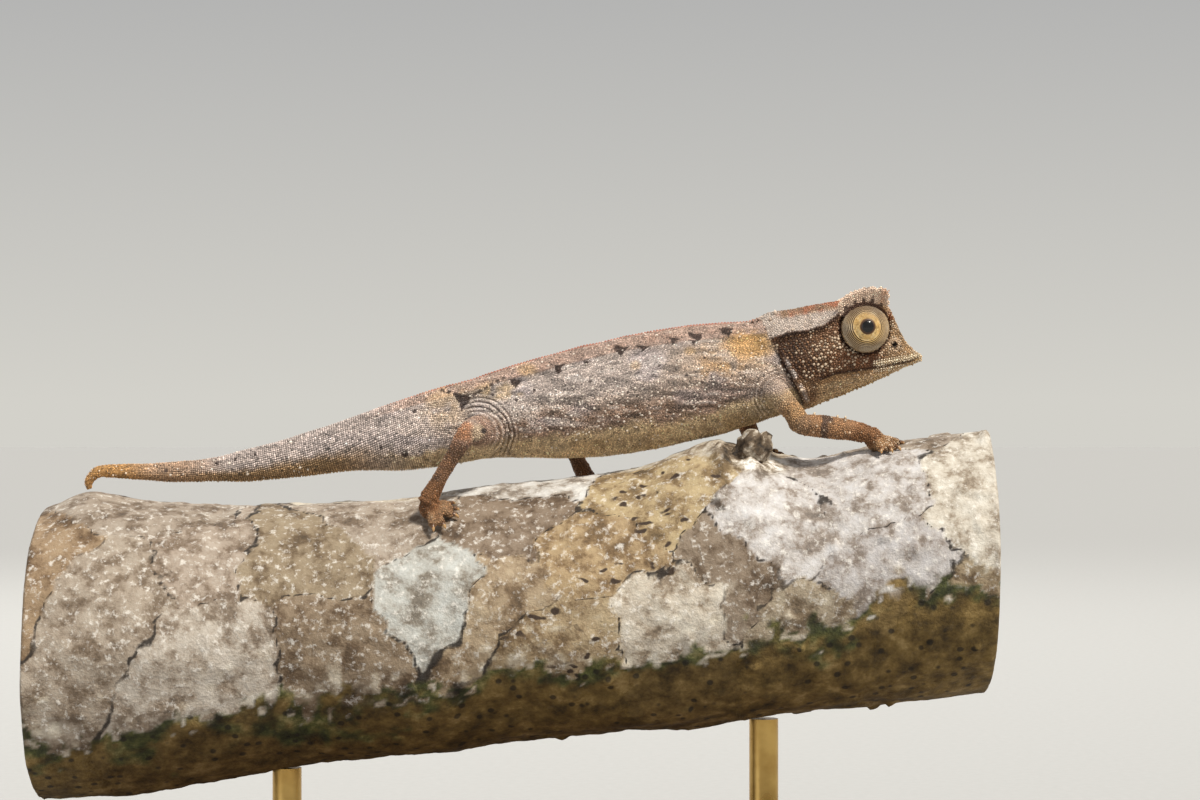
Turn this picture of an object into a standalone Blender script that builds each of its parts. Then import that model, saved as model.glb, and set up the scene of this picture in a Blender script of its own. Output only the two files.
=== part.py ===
"""A life-size leaf chameleon walking along a cut length of branch, held over a flat display base.

+X points to the snout and +Z up. The origin is under the middle of the base, on what it stands on.
Lengths are in metres; sizes are written in millimetres times MM. The animal is 83 mm long.
"""

import math

import bmesh
import bpy
from mathutils import Matrix, Vector

MM = 0.001
GAP = 0.25 * MM  # the thin cut between two nodes, and the clearance where one rests on another

# Voxel size of the soft forms and the triangles they keep, before they are parted into nodes
BODY_VOXEL, BODY_TRIANGLES = 0.22 * MM, 2400
LIMB_VOXEL, LIMB_TRIANGLES = 0.15 * MM, 500

# The spine from the tail tip to the nape: x, z, half height and half width of the body there
SPINE = (
    (-41.02, 38.62, 0.26, 0.26),
    (-41.16, 39.35, 0.44, 0.42),
    (-40.72, 40.02, 0.54, 0.52),
    (-39.90, 40.42, 0.61, 0.60),
    (-37.15, 40.42, 0.74, 0.70),
    (-33.29, 40.38, 0.92, 0.85),
    (-29.43, 40.58, 1.12, 1.02),
    (-25.57, 41.01, 1.57, 1.30),
    (-20.75, 41.93, 1.96, 1.60),
    (-15.92, 42.97, 2.50, 2.00),
    (-11.10, 43.79, 3.32, 2.45),
    (-7.24, 44.61, 3.72, 2.75),
    (-3.38, 45.50, 3.95, 3.05),
    (0.48, 46.18, 4.53, 3.40),
    (4.34, 46.71, 5.10, 3.70),
    (8.20, 47.31, 5.48, 3.85),
    (12.06, 48.03, 5.66, 3.90),
    (15.92, 48.78, 5.55, 3.80),
    (19.78, 49.48, 5.32, 3.60),
    (22.68, 50.04, 5.00, 3.35),
    (25.40, 50.66, 4.60, 3.05),
    (27.60, 51.00, 4.15, 2.80),
)
SPINE_STEPS = 6  # rings between two stations
RING_SIDES = 32
KEEL = 0.34  # how far the back is pinched towards its ridge, as a share of the half width

# The skull from nape to snout. Each row: x, then the height of the crown, the half width and height
# of the lateral crest, of the cheek and of the jaw, and the height of the throat.
SKULL = (
    (24.60, 55.90, 2.90, 53.40, 3.10, 50.95, 2.40, 47.80, 45.90),
    (26.54, 56.16, 3.50, 53.75, 3.75, 50.95, 2.80, 48.06, 46.13),
    (28.27, 56.50, 3.75, 54.04, 4.05, 51.15, 2.85, 48.44, 46.42),
    (29.91, 56.74, 3.70, 54.72, 4.00, 51.53, 2.70, 48.93, 47.14),
    (31.85, 56.94, 3.50, 55.78, 3.65, 51.92, 2.50, 49.41, 47.86),
    (33.77, 56.40, 3.20, 56.60, 3.10, 52.11, 2.25, 49.99, 48.68),
    (35.42, 55.30, 2.75, 56.55, 2.45, 52.30, 1.95, 50.37, 49.41),
    (36.48, 53.90, 2.10, 55.10, 1.95, 52.40, 1.60, 50.66, 49.89),
    (37.54, 52.70, 1.35, 53.10, 1.45, 51.92, 1.20, 50.95, 50.37),
    (38.50, 51.95, 0.90, 52.10, 1.00, 51.53, 0.80, 51.05, 50.76),
    (39.25, 51.50, 0.35, 51.50, 0.45, 51.35, 0.35, 51.20, 51.10),
)

# The brow plate over each eye: x, its foot and its edge as half width and height, thickness
BROW = (
    (30.90, 3.15, 55.30, 3.50, 56.70, 0.9),
    (31.80, 3.25, 55.40, 3.90, 57.45, 0.9),
    (33.10, 3.20, 55.60, 4.35, 58.15, 0.9),
    (34.40, 3.00, 55.60, 4.60, 58.25, 0.8),
    (35.30, 2.75, 55.40, 4.65, 58.15, 0.7),
    (35.85, 2.45, 55.00, 4.50, 57.85, 0.6),
)
BROW_REACH = 1.8  # how far a plate's foot reaches in towards the middle of the crown

# The eye turret: a ball pressed into the side of the head, slightly flattened fore and aft
EYE_CENTRE = (33.52, 2.95, 54.15)
EYE_RADII = (2.32, 2.25, 2.36)

# Limbs: x, y and z of each joint with the limb's radius there. y is positive on the animal's left.
FRONT_RIGHT = (
    (24.2, -1.60, 48.9, 1.40),
    (25.5, -3.70, 47.5, 1.08),
    (26.7, -5.10, 45.9, 1.00),
    (27.3, -5.55, 45.0, 1.04),
    (29.4, -5.10, 44.75, 1.16),
    (31.8, -4.20, 44.50, 1.06),
    (33.9, -3.60, 44.05, 0.85),
)
FRONT_LEFT = (
    (23.6, 1.60, 48.9, 1.30),
    (22.9, 4.00, 48.6, 0.95),
    (22.2, 6.10, 48.3, 0.90),
    (22.0, 6.60, 47.4, 0.98),
    (22.4, 6.30, 45.6, 1.00),
    (22.9, 5.80, 44.2, 0.92),
    (23.3, 5.40, 43.0, 0.78),
)
HIND_RIGHT = (
    (-2.6, -1.60, 44.1, 2.00),
    (-3.0, -3.80, 44.3, 1.75),
    (-3.9, -6.20, 44.4, 1.20),
    (-4.5, -7.10, 43.9, 1.00),
    (-5.9, -7.60, 41.6, 0.72),
    (-7.4, -7.90, 39.0, 0.80),
    (-8.1, -8.00, 37.6, 0.96),
)
HIND_LEFT = (
    (-2.6, 1.60, 44.1, 2.00),
    (-0.4, 4.00, 45.2, 1.75),
    (2.6, 6.40, 46.4, 1.20),
    (3.6, 7.00, 46.2, 1.00),
    (4.9, 7.40, 43.6, 0.72),
    (6.2, 7.80, 40.9, 0.80),
    (6.8, 8.00, 39.6, 0.96),
)
KNEE, ANKLE = 3, 6  # the points of a limb where it bends and where the foot begins
LIMB_SIDES = 14
TOE_RADIUS = 0.40
CLAW_LENGTH = 0.75
CLAW_RADIUS = 0.26
BUNDLE_SPREAD = math.radians(34)  # each bundle of toes from the foot's own line

# The perch: a cut length of branch, 25 mm thick, that climbs towards the snout
PERCH_HALF = 45.4
PERCH_SIDES = 24
PERCH_RINGS = 22
PERCH_HEIGHT, PERCH_SLOPE, PERCH_BEND = 26.65, 0.100, 0.0003
PERCH_RADIUS, PERCH_BUTT = 12.6, 1.4
# Swellings of the branch: x, turn from the top towards the near side, height, half length, half turn
SWELLINGS = (
    (-41.0, 0.00, 1.40, 2.3, 0.30),
    (19.4, 0.25, 2.60, 4.4, 0.45),
    (28.4, 0.10, -1.00, 3.4, 0.50),
)
STUB_FOOT = (21.6, -3.8, 40.6)
STUB_TIP = (24.0, -5.6, 44.4)
STUB_RADIUS = 1.75

# The display stand
BASE_SIZE = (84.0, 46.0, 4.0)
BASE_ROUND = 0.8
ROD_PLACES = (-22.0, 24.0)
ROD_RADIUS = 1.4
FLANGE_RADIUS, FLANGE_HEIGHT = 3.4, 0.9

COLOURS = {  # base colour, roughness, metallic
    "hide": ((0.42, 0.36, 0.31), 0.75, 0.0),
    "cheek": ((0.17, 0.10, 0.07), 0.75, 0.0),
    "leg": ((0.30, 0.19, 0.12), 0.75, 0.0),
    "eye": ((0.36, 0.28, 0.14), 0.55, 0.0),
    "bark": ((0.40, 0.36, 0.29), 0.90, 0.0),
    "walnut": ((0.09, 0.05, 0.03), 0.45, 0.0),
    "brass": ((0.72, 0.55, 0.28), 0.30, 1.0),
}


# ---------------------------------------------------------------- scene, materials and small tools


def start_scene():
    for old in list(bpy.data.objects):
        bpy.data.objects.remove(old)
    for name in ("leaf_chameleon", "cutters"):
        made = bpy.data.collections.new(name)
        bpy.context.scene.collection.children.link(made)


def material(name):
    found = bpy.data.materials.get(name)
    if found:
        return found
    colour, roughness, metallic = COLOURS[name]
    made = bpy.data.materials.new(name)
    made.use_nodes = True
    shader = made.node_tree.nodes["Principled BSDF"]
    shader.inputs["Base Color"].default_value = (*colour, 1.0)
    shader.inputs["Roughness"].default_value = roughness
    shader.inputs["Metallic"].default_value = metallic
    return made


def place(mesh, name, finish=None):
    """Puts a mesh in the model's collection, or among the cutters if it has no finish."""
    made = bpy.data.objects.new(name, mesh)
    bpy.data.collections["leaf_chameleon" if finish else "cutters"].objects.link(made)
    if finish:
        mesh.materials.clear()
        mesh.materials.append(material(finish))
    else:
        made.hide_render = True
        made.display_type = "WIRE"
    return made


def applied(obj):
    """The object's mesh with its modifiers applied."""
    return bpy.data.meshes.new_from_object(obj.evaluated_get(bpy.context.evaluated_depsgraph_get()))


def bake_modifiers(obj):
    mesh = applied(obj)
    obj.modifiers.clear()
    obj.data = mesh
    return obj


def loft(rings, name):
    """A closed skin through rings of the same number of points, with flat ends."""
    bm = bmesh.new()
    rows = [[bm.verts.new(point) for point in ring] for ring in rings]
    sides = len(rows[0])
    for low, high in zip(rows, rows[1:]):
        for i in range(sides):
            after = (i + 1) % sides
            bm.faces.new((low[i], low[after], high[after], high[i]))
    bm.faces.new(reversed(rows[0]))
    bm.faces.new(rows[-1])
    bmesh.ops.recalc_face_normals(bm, faces=bm.faces)
    mesh = bpy.data.meshes.new(name)
    bm.to_mesh(mesh)
    bm.free()
    return place(mesh, name)


def ball(centre, radii, name, segments=16, rings=11):
    bpy.ops.mesh.primitive_uv_sphere_add(segments=segments, ring_count=rings, radius=1.0)
    made = bpy.context.object
    made.data.transform(Matrix.Diagonal((*radii, 1.0)))
    made.data.transform(Matrix.Translation(centre))
    mesh = made.data
    bpy.data.objects.remove(made)
    return place(mesh, name)


def tube(path, radii, name, sides=LIMB_SIDES):
    """A round body along a path. Each ring stands square to the path."""
    rings = []
    for i, centre in enumerate(path):
        along = (path[min(i + 1, len(path) - 1)] - path[max(i - 1, 0)]).normalized()
        turn = along.to_track_quat("Z", "Y")
        rings.append(
            [
                centre + turn @ Vector((radii[i] * math.cos(a), radii[i] * math.sin(a), 0))
                for a in (2 * math.pi * k / sides for k in range(sides))
            ]
        )
    return loft(rings, name)


def slab(point, normal, length, width, name):
    """A thin plate that parts a solid, square to normal. Its length has no part along Y."""
    bm = bmesh.new()
    bmesh.ops.create_cube(bm, size=1.0)
    mesh = bpy.data.meshes.new(name)
    bm.to_mesh(mesh)
    bm.free()
    normal = Vector(normal).normalized()
    along = Vector((0, 1, 0)).cross(normal).normalized()
    turn = Matrix((along, normal.cross(along), normal)).transposed().to_4x4()
    mesh.transform(Matrix.Translation(point) @ turn @ Matrix.Diagonal((length, width, GAP, 1.0)))
    return place(mesh, name)


def boolean(obj, cutters, operation="DIFFERENCE"):
    """Cuts or joins closed forms. The exact solver loses a piece of a form that is already parted."""
    for cutter in cutters:
        change = obj.modifiers.new(cutter.name, "BOOLEAN")
        change.solver = "MANIFOLD"
        change.operation = operation
        change.object = cutter
    return bake_modifiers(obj)


def grown(obj, distance, name):
    """A copy of a solid with its skin moved out, to cut a neighbour with clearance."""
    copy = place(obj.data.copy(), name)
    push = copy.modifiers.new("grow", "DISPLACE")
    push.strength = distance
    push.mid_level = 0.0
    return bake_modifiers(copy)


def fused(objects, name, voxel, rounds, triangles):
    """One skin round overlapping closed forms, its creases softened, with about so many triangles."""
    bm = bmesh.new()
    for obj in objects:
        bm.from_mesh(obj.data)
    mesh = bpy.data.meshes.new(name)
    bm.to_mesh(mesh)
    bm.free()
    made = place(mesh, name)
    remesh = made.modifiers.new("skin", "REMESH")
    remesh.mode = "VOXEL"
    remesh.voxel_size = voxel
    soften = made.modifiers.new("soften", "SMOOTH")
    soften.factor = 0.5
    soften.iterations = rounds
    bake_modifiers(made)
    made.data.calc_loop_triangles()
    fewer = made.modifiers.new("fewer", "DECIMATE")
    fewer.ratio = min(1.0, triangles / len(made.data.loop_triangles))
    fewer.use_collapse_triangulate = True
    return bake_modifiers(made)


def loose_parts(obj):
    """The separate closed bodies of a mesh, each as its own mesh, largest first."""
    bm = bmesh.new()
    bm.from_mesh(obj.data)
    left, parts = set(bm.verts), []
    while left:
        reached, edge = set(), [left.pop()]
        while edge:
            vert = edge.pop()
            reached.add(vert)
            for link in vert.link_edges:
                other = link.other_vert(vert)
                if other in left:
                    left.discard(other)
                    edge.append(other)
        parts.append(reached)
    meshes = []
    for part in sorted(parts, key=len, reverse=True):
        faces = {face for vert in part for face in vert.link_faces}
        new = bmesh.new()
        copies = {vert: new.verts.new(vert.co) for vert in sorted(part, key=lambda v: v.index)}
        for face in sorted(faces, key=lambda f: f.index):
            new.faces.new([copies[vert] for vert in face.verts])
        mesh = bpy.data.meshes.new(obj.name)
        new.to_mesh(mesh)
        new.free()
        meshes.append(mesh)
    bm.free()
    return meshes


def middle(mesh):
    points = [vert.co for vert in mesh.vertices]
    return sum(points, Vector()) / len(points)


def parted(obj, cutters, named):
    """Cuts a form with thin plates and makes a node of each piece.

    named is {node: (a point near its middle, finish)}. Each node takes the nearest piece.
    """
    boolean(obj, cutters)
    pieces = loose_parts(obj)
    for name, (point, finish) in named.items():
        nearest = min(pieces, key=lambda mesh: (middle(mesh) - Vector(point) * MM).length)
        pieces.remove(nearest)
        place(nearest, name, finish)
    bpy.data.objects.remove(obj)


def curve_through(points, steps):
    """Points on a smooth curve through rows of numbers (Catmull-Rom), the given ones included."""
    rows = [Vector(row) for row in points]
    found = []
    for i in range(len(rows) - 1):
        before, start, end = rows[max(i - 1, 0)], rows[i], rows[i + 1]
        after = rows[min(i + 2, len(rows) - 1)]
        for k in range(steps):
            t = k / steps
            found.append(
                0.5
                * (
                    2 * start
                    + (end - before) * t
                    + (2 * before - 5 * start + 4 * end - after) * t**2
                    + (3 * start - before - 3 * end + after) * t**3
                )
            )
    found.append(rows[-1])
    return found


# ------------------------------------------------------------------------------- head, trunk, tail


def trunk_and_tail():
    """The body from tail tip to nape: an oval section whose back is pinched to a ridge."""
    stations = curve_through(SPINE, SPINE_STEPS)
    rings = []
    for i, (x, z, half_height, half_width) in enumerate(stations):
        before, after = stations[max(i - 1, 0)], stations[min(i + 1, len(stations) - 1)]
        slope = math.atan2(after[1] - before[1], after[0] - before[0])
        ring = []
        for k in range(RING_SIDES):
            turn = 2 * math.pi * k / RING_SIDES
            up, side = math.cos(turn), math.sin(turn)
            pinch = 1 - KEEL * max(up, 0) ** 1.5
            rise = half_height * up
            ring.append(
                Vector(
                    (
                        x - rise * math.sin(slope),
                        half_width * side * pinch,
                        z + rise * math.cos(slope),
                    )
                )
                * MM
            )
        rings.append(ring)
    return loft(rings, "trunk_and_tail")


def skull():
    """The head as a loft: in each section a closed curve over crown, crest, cheek, jaw and throat."""
    rings = []
    for x, crown, crest_y, crest_z, cheek_y, cheek_z, jaw_y, jaw_z, throat in curve_through(SKULL, 5):
        temple_y = 0.55 * crest_y + 0.45 * cheek_y - 0.12
        half = (
            (0.0, crown),
            (0.55 * crest_y, 0.5 * (crown + crest_z) + 0.1),
            (crest_y, crest_z),
            (temple_y, 0.6 * crest_z + 0.4 * cheek_z),
            (cheek_y, cheek_z),
            (jaw_y, jaw_z),
            (0.45 * jaw_y, 0.25 * jaw_z + 0.75 * throat),
            (0.0, throat),
        )
        outline = curve_through(half, 3)
        right = [Vector((x, -y, z)) * MM for y, z in outline]
        left = [Vector((x, y, z)) * MM for y, z in reversed(outline[1:-1])]
        rings.append(right + left)
    return loft(rings, "skull")


def brow_plate(side):
    """The bony plate over an eye: a wedge from the crown, flat outside, rising to a blunt horn."""
    rings = []
    for x, foot_y, foot_z, edge_y, edge_z, thick in curve_through(BROW, 2):
        foot, edge = Vector((foot_y, foot_z)), Vector((edge_y, edge_z))
        rise = (edge - foot).normalized()
        across = Vector((-rise.y, rise.x)) * (thick / 2)
        tip = edge - rise * thick / 4
        inner = foot - Vector((BROW_REACH, 0))
        section = (foot - across, inner, tip + across * 0.7, edge, tip - across * 0.7)
        rings.append([Vector((x, side * y, z)) * MM for y, z in section])
    return loft(rings, "brow")


def eye_ball(side, name, grow=0.0):
    x, y, z = EYE_CENTRE
    radii = [(radius + grow) * MM for radius in EYE_RADII]
    return ball(Vector((x, side * y, z)) * MM, radii, name)


def cut_across(low, high, name):
    """A plate through two points of the animal's middle plane, (x, z) in millimetres."""
    low, high = Vector((low[0], 0, low[1])) * MM, Vector((high[0], 0, high[1])) * MM
    along = high - low
    return slab((low + high) / 2, along.cross(Vector((0, 1, 0))), 24 * MM, 24 * MM, name)


def make_body_nodes(whole):
    """Parts the body at nape, shoulders, vent and twice along the tail, and takes out the jaw."""
    mouth = slab(Vector((34.6, 0, 50.42)) * MM, (-0.185, 0, 1.0), 10.6 * MM, 12 * MM, "mouth")
    jaw_back = slab(Vector((29.5, 0, 47.6)) * MM, (1.0, 0, -0.1), 4.1 * MM, 12 * MM, "jaw_back")
    cutters = [
        cut_across((28.3, 46.2), (24.9, 55.9), "nape_cut"),
        cut_across((26.4, 45.7), (22.9, 55.4), "neck_cut"),
        cut_across((-8.1, 40.8), (-6.6, 48.3), "vent_cut"),
        cut_across((-20.4, 39.9), (-21.3, 44.0), "tail_cut_1"),
        cut_across((-31.2, 39.2), (-31.2, 41.6), "tail_cut_2"),
        mouth,
        jaw_back,
        eye_ball(-1, "right_socket", 0.25),
        eye_ball(1, "left_socket", 0.25),
    ]
    parted(
        whole,
        cutters,
        {
            "trunk": ((9.0, 0.0, 47.5), "hide"),
            "head": ((32.0, 0.0, 53.5), "cheek"),
            "neck": ((25.5, 0.0, 50.8), "hide"),
            "jaw": ((33.5, 0.0, 49.3), "hide"),
            "tail_base": ((-14.0, 0.0, 43.3), "hide"),
            "tail_middle": ((-26.0, 0.0, 41.0), "hide"),
            "tail_tip": ((-37.0, 0.0, 40.4), "hide"),
        },
    )


def make_eyes_and_brows(skin):
    for side, word in ((-1, "right"), (1, "left")):
        place(eye_ball(side, "eyeball").data, f"eye_{word}", "eye")
        plate = boolean(brow_plate(side), [skin, eye_ball(side, "brow_socket", GAP / MM)])
        place(loose_parts(plate)[0], f"brow_{word}", "cheek")


# ------------------------------------------------------------------------------------------- limbs


def perch_surface(x, turn, grow=0.0):
    """A point on the branch. turn is 0 at the top and positive towards the near side."""
    ease = min(max((-18.0 - x) / 22.0, 0.0), 1.0)
    radius = PERCH_RADIUS + PERCH_BUTT * ease * ease * (3 - 2 * ease) + grow
    for at, about, height, length, spread in SWELLINGS:
        away = ((x - at) / length) ** 2 + ((math.remainder(turn - about, 2 * math.pi)) / spread) ** 2
        radius += height * math.exp(-away / 2)
    middle_z = PERCH_HEIGHT + PERCH_SLOPE * x + PERCH_BEND * x * x
    return Vector((x, -radius * math.sin(turn), middle_z + radius * math.cos(turn)))


def foot_parts(ankle, turn, toes_out, toes_in, heading, reach):
    """Palm, toes and claws of a grasping foot laid on the branch, as overlapping solids.

    turn is where round the branch it stands and heading the way it points, from +X towards the near
    side. The outer bundle has toes_out toes and the inner one toes_in.
    """
    foot_x = ankle.x + reach * math.cos(heading)
    ground = perch_surface(foot_x, turn)
    up = (ground - perch_surface(foot_x, turn, -1.0)).normalized()
    ahead = Vector((math.cos(heading), -math.sin(heading) * math.cos(turn), 0))
    ahead = (ahead - up * ahead.dot(up)).normalized()
    across = up.cross(ahead)
    palm = ground + up * 0.85
    solids = [
        ball(palm * MM, (1.0 * MM,) * 3, "palm", 14, 10),
        tube([ankle * MM, (ankle + palm) / 2 * MM, palm * MM], [v * MM for v in (0.92, 0.9, 0.85)], "heel"),
    ]
    for bundle, count in ((1, toes_out), (-1, toes_in)):
        for k in range(count):
            fan = (k - (count - 1) / 2) * math.radians(24)
            angle = bundle * (BUNDLE_SPREAD + math.radians(6)) + fan
            way = ahead * math.cos(angle) + across * math.sin(angle)
            length = 1.75 if count == 2 else 1.65
            root = palm + way * 0.35
            knuckle = root + way * length * 0.55 + up * 0.05
            pad = root + way * length - up * 0.22
            solids.append(
                tube(
                    [p * MM for p in (root, knuckle, pad)],
                    [TOE_RADIUS * w * MM for w in (1.25, 1.12, 0.9)],
                    "toe",
                    10,
                )
            )
            solids.append(ball(pad * MM, (TOE_RADIUS * 0.95 * MM,) * 3, "toe_end", 10, 8))
            claw_mid = pad + way * CLAW_LENGTH * 0.6 - up * 0.02
            claw_tip = pad + way * CLAW_LENGTH - up * 0.30
            solids.append(
                tube(
                    [p * MM for p in (pad, claw_mid, claw_tip)],
                    [w * MM for w in (CLAW_RADIUS, CLAW_RADIUS * 0.85, 0.16)],
                    "claw",
                    8,
                )
            )
    return solids


def make_limb(word, joints, foot, skin, perch):
    """A whole limb, freed of the body and the branch by the gap, then parted at knee and ankle."""
    path = curve_through(joints, 4)
    leg = tube([row.xyz * MM for row in path], [row.w * MM for row in path], "leg")
    solids = [leg, *foot_parts(Vector(joints[ANKLE][:3]), *foot)]
    whole = fused(solids, f"{word}_form", LIMB_VOXEL, 3, LIMB_TRIANGLES)
    knee, ankle = Vector(joints[KNEE][:3]), Vector(joints[ANKLE][:3])
    above, below = Vector(joints[KNEE - 1][:3]), Vector(joints[KNEE + 1][:3])
    bend = (knee - above).normalized() + (below - knee).normalized()
    shin = (ankle - below).normalized()
    into_branch = perch_surface(ankle.x, foot[0], -1.0) - perch_surface(ankle.x, foot[0])
    ankle_cut = shin + 0.6 * into_branch
    cutters = [
        skin,
        perch,
        slab(knee * MM, bend, 3.4 * MM, 3.4 * MM, f"{word}_knee_cut"),
        slab((ankle - ankle_cut * 0.3) * MM, ankle_cut, 3.1 * MM, 3.1 * MM, f"{word}_ankle_cut"),
    ]
    upper, lower = ("upper_arm", "forearm") if word.startswith("front") else ("thigh", "shank")
    parted(
        whole,
        cutters,
        {
            f"{word}_foot": (ankle + (ankle - below) * 0.3, "leg"),
            f"{word}_{lower}": ((knee + ankle) / 2, "leg"),
            f"{word}_{upper}": ((Vector(joints[1][:3]) + knee) / 2, "leg"),
        },
    )


def make_limbs(skin, perch):
    """Right hind and left front feet trail, the other two reach ahead, as in a slow walk."""
    stances = {
        "front_right": (FRONT_RIGHT, (0.24, 2, 3, math.radians(20), 0.70)),
        "front_left": (FRONT_LEFT, (-0.40, 2, 3, math.radians(-20), 0.4)),
        "hind_right": (HIND_RIGHT, (0.60, 3, 2, math.radians(40), 0.4)),
        "hind_left": (HIND_LEFT, (-0.60, 3, 2, math.radians(-30), 0.6)),
    }
    for word, (joints, foot) in stances.items():
        make_limb(word, joints, foot, skin, perch)


# --------------------------------------------------------------------------------- perch and stand


def perch_form(grow=0.0):
    rings = []
    for i in range(PERCH_RINGS + 1):
        x = PERCH_HALF * (2 * i / PERCH_RINGS - 1)
        rings.append(
            [
                perch_surface(x, -2 * math.pi * k / PERCH_SIDES, grow) * MM
                for k in range(PERCH_SIDES)
            ]
        )
    return loft(rings, "perch_form")


def make_perch():
    branch = perch_form()
    foot, tip = Vector(STUB_FOOT) * MM, Vector(STUB_TIP) * MM
    stub = tube([foot, (foot + tip) / 2, tip], [STUB_RADIUS * w * MM for w in (1.5, 1.1, 0.95)], "stub", 10)
    boolean(branch, [stub], "UNION")
    place(branch.data, "perch", "bark")


def make_stand():
    """A flat base with rounded edges and two flanged rods that reach up to the branch."""
    length, width, height = (side * MM for side in BASE_SIZE)
    bm = bmesh.new()
    bmesh.ops.create_cube(bm, size=1.0)
    mesh = bpy.data.meshes.new("stand_base")
    bm.to_mesh(mesh)
    bm.free()
    mesh.transform(Matrix.Translation((0, 0, height / 2)) @ Matrix.Diagonal((length, width, height, 1)))
    base = place(mesh, "stand_base", "walnut")
    edge = base.modifiers.new("rounded edges", "BEVEL")
    edge.width = BASE_ROUND * MM
    edge.segments = 3
    branch = perch_form(GAP / MM)
    for x, word in zip(ROD_PLACES, ("rear", "front")):
        floor = height + GAP
        profile = (
            (FLANGE_RADIUS, floor),
            (FLANGE_RADIUS, floor + 0.6 * FLANGE_HEIGHT * MM),
            (ROD_RADIUS + 0.5, floor + FLANGE_HEIGHT * MM),
            (ROD_RADIUS, floor + (FLANGE_HEIGHT + 0.5) * MM),
            (ROD_RADIUS, 22 * MM),
        )
        rings = [
            [
                Vector((x * MM + r * MM * math.cos(a), r * MM * math.sin(a), z))
                for a in (2 * math.pi * k / 16 for k in range(16))
            ]
            for r, z in profile
        ]
        rod = loft(rings, f"rod_{word}")
        boolean(rod, [branch])
        lowest = min(loose_parts(rod), key=lambda mesh: middle(mesh).z)
        place(lowest, f"stand_rod_{word}", "brass")


start_scene()
whole_body = fused([trunk_and_tail(), skull()], "body", BODY_VOXEL, 4, BODY_TRIANGLES)
skin_with_gap = grown(whole_body, GAP, "skin_with_gap")
make_body_nodes(whole_body)
make_eyes_and_brows(skin_with_gap)
make_limbs(skin_with_gap, perch_form(GAP / MM))
make_perch()
make_stand()
for helper in list(bpy.data.collections["cutters"].objects):
    bpy.data.objects.remove(helper)
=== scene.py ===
"""A life-size leaf chameleon on a cut length of branch, over a walnut base with two brass rods."""

import math

import bmesh
import bpy
import numpy as np
from mathutils import Matrix, Vector
from mathutils.bvhtree import BVHTree


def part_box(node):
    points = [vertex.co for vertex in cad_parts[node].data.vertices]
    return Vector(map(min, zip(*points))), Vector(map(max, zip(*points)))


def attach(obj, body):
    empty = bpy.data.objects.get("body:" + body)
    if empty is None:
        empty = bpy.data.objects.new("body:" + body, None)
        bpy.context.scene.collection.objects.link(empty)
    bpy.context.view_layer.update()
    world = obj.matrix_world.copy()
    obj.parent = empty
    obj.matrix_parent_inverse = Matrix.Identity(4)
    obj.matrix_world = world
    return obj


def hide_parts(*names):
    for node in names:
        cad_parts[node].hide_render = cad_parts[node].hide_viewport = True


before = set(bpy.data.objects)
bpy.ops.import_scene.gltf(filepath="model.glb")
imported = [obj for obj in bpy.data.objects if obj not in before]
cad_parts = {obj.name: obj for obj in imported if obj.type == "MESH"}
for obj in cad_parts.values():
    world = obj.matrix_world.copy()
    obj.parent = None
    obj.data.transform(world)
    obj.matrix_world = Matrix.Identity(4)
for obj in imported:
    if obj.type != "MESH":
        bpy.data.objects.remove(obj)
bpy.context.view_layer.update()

# ------------------------------------------------------------------------------ display base
# A flat walnut board, planed, its edges rounded over with a router bit and rubbed with oil.

MM = 0.001


def linear(code):
    """An sRGB hex colour as linear red, green and blue."""
    parts = np.array([int(code[i : i + 2], 16) for i in (1, 3, 5)]) / 255
    return np.where(parts > 0.04045, ((parts + 0.055) / 1.055) ** 2.4, parts / 12.92)


def colour(code):
    return (*linear(code), 1.0)


def new_material(name, **sockets):
    """A material and its node tree. sockets are set on its shader: Coat_Weight is Coat Weight."""
    made = bpy.data.materials.new(name)
    made.use_nodes = True
    for socket, value in sockets.items():
        made.node_tree.nodes["Principled BSDF"].inputs[socket.replace("_", " ")].default_value = value
    return made, made.node_tree


def add(tree, kind, *inputs, stops=(), out=0, feeds=None, **more):
    """Adds a node and gives its output out. inputs go to its first sockets in order, and a name with
    a capital is a socket too: From_Min is From Min. Any other name is a setting. Each input is a value
    or the output it reads, and feeds names the shader's socket that reads this node."""
    node = tree.nodes.new("ShaderNode" + kind)
    order = range(len(inputs))
    if kind == "Mix":  # of two colours, after their share
        node.data_type, out, order = "RGBA", 2, (0, 6, 7)
    values = dict(zip(order, inputs))
    for name, value in more.items():
        if name[0].isupper():
            values[name.replace("_", " ")] = value
        else:
            setattr(node, name, value)
    for position, (at, code) in enumerate(stops):
        ramp = node.color_ramp.elements
        stop = ramp[position] if position < len(ramp) else ramp.new(at)
        stop.position, stop.color = at, colour(code)
    for key, value in values.items():
        if isinstance(value, bpy.types.NodeSocket):
            tree.links.new(value, node.inputs[key])
        else:
            node.inputs[key].default_value = value
    if feeds:
        tree.links.new(node.outputs[out], tree.nodes["Principled BSDF"].inputs[feeds])
    return node.outputs[out]


def piece_from(mesh, name, material):
    made = bpy.data.objects.new(name, mesh)
    bpy.context.scene.collection.objects.link(made)
    mesh.materials.append(material)
    mesh.polygons.foreach_set("use_smooth", [True] * len(mesh.polygons))
    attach(made, "root")
    return made


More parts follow.
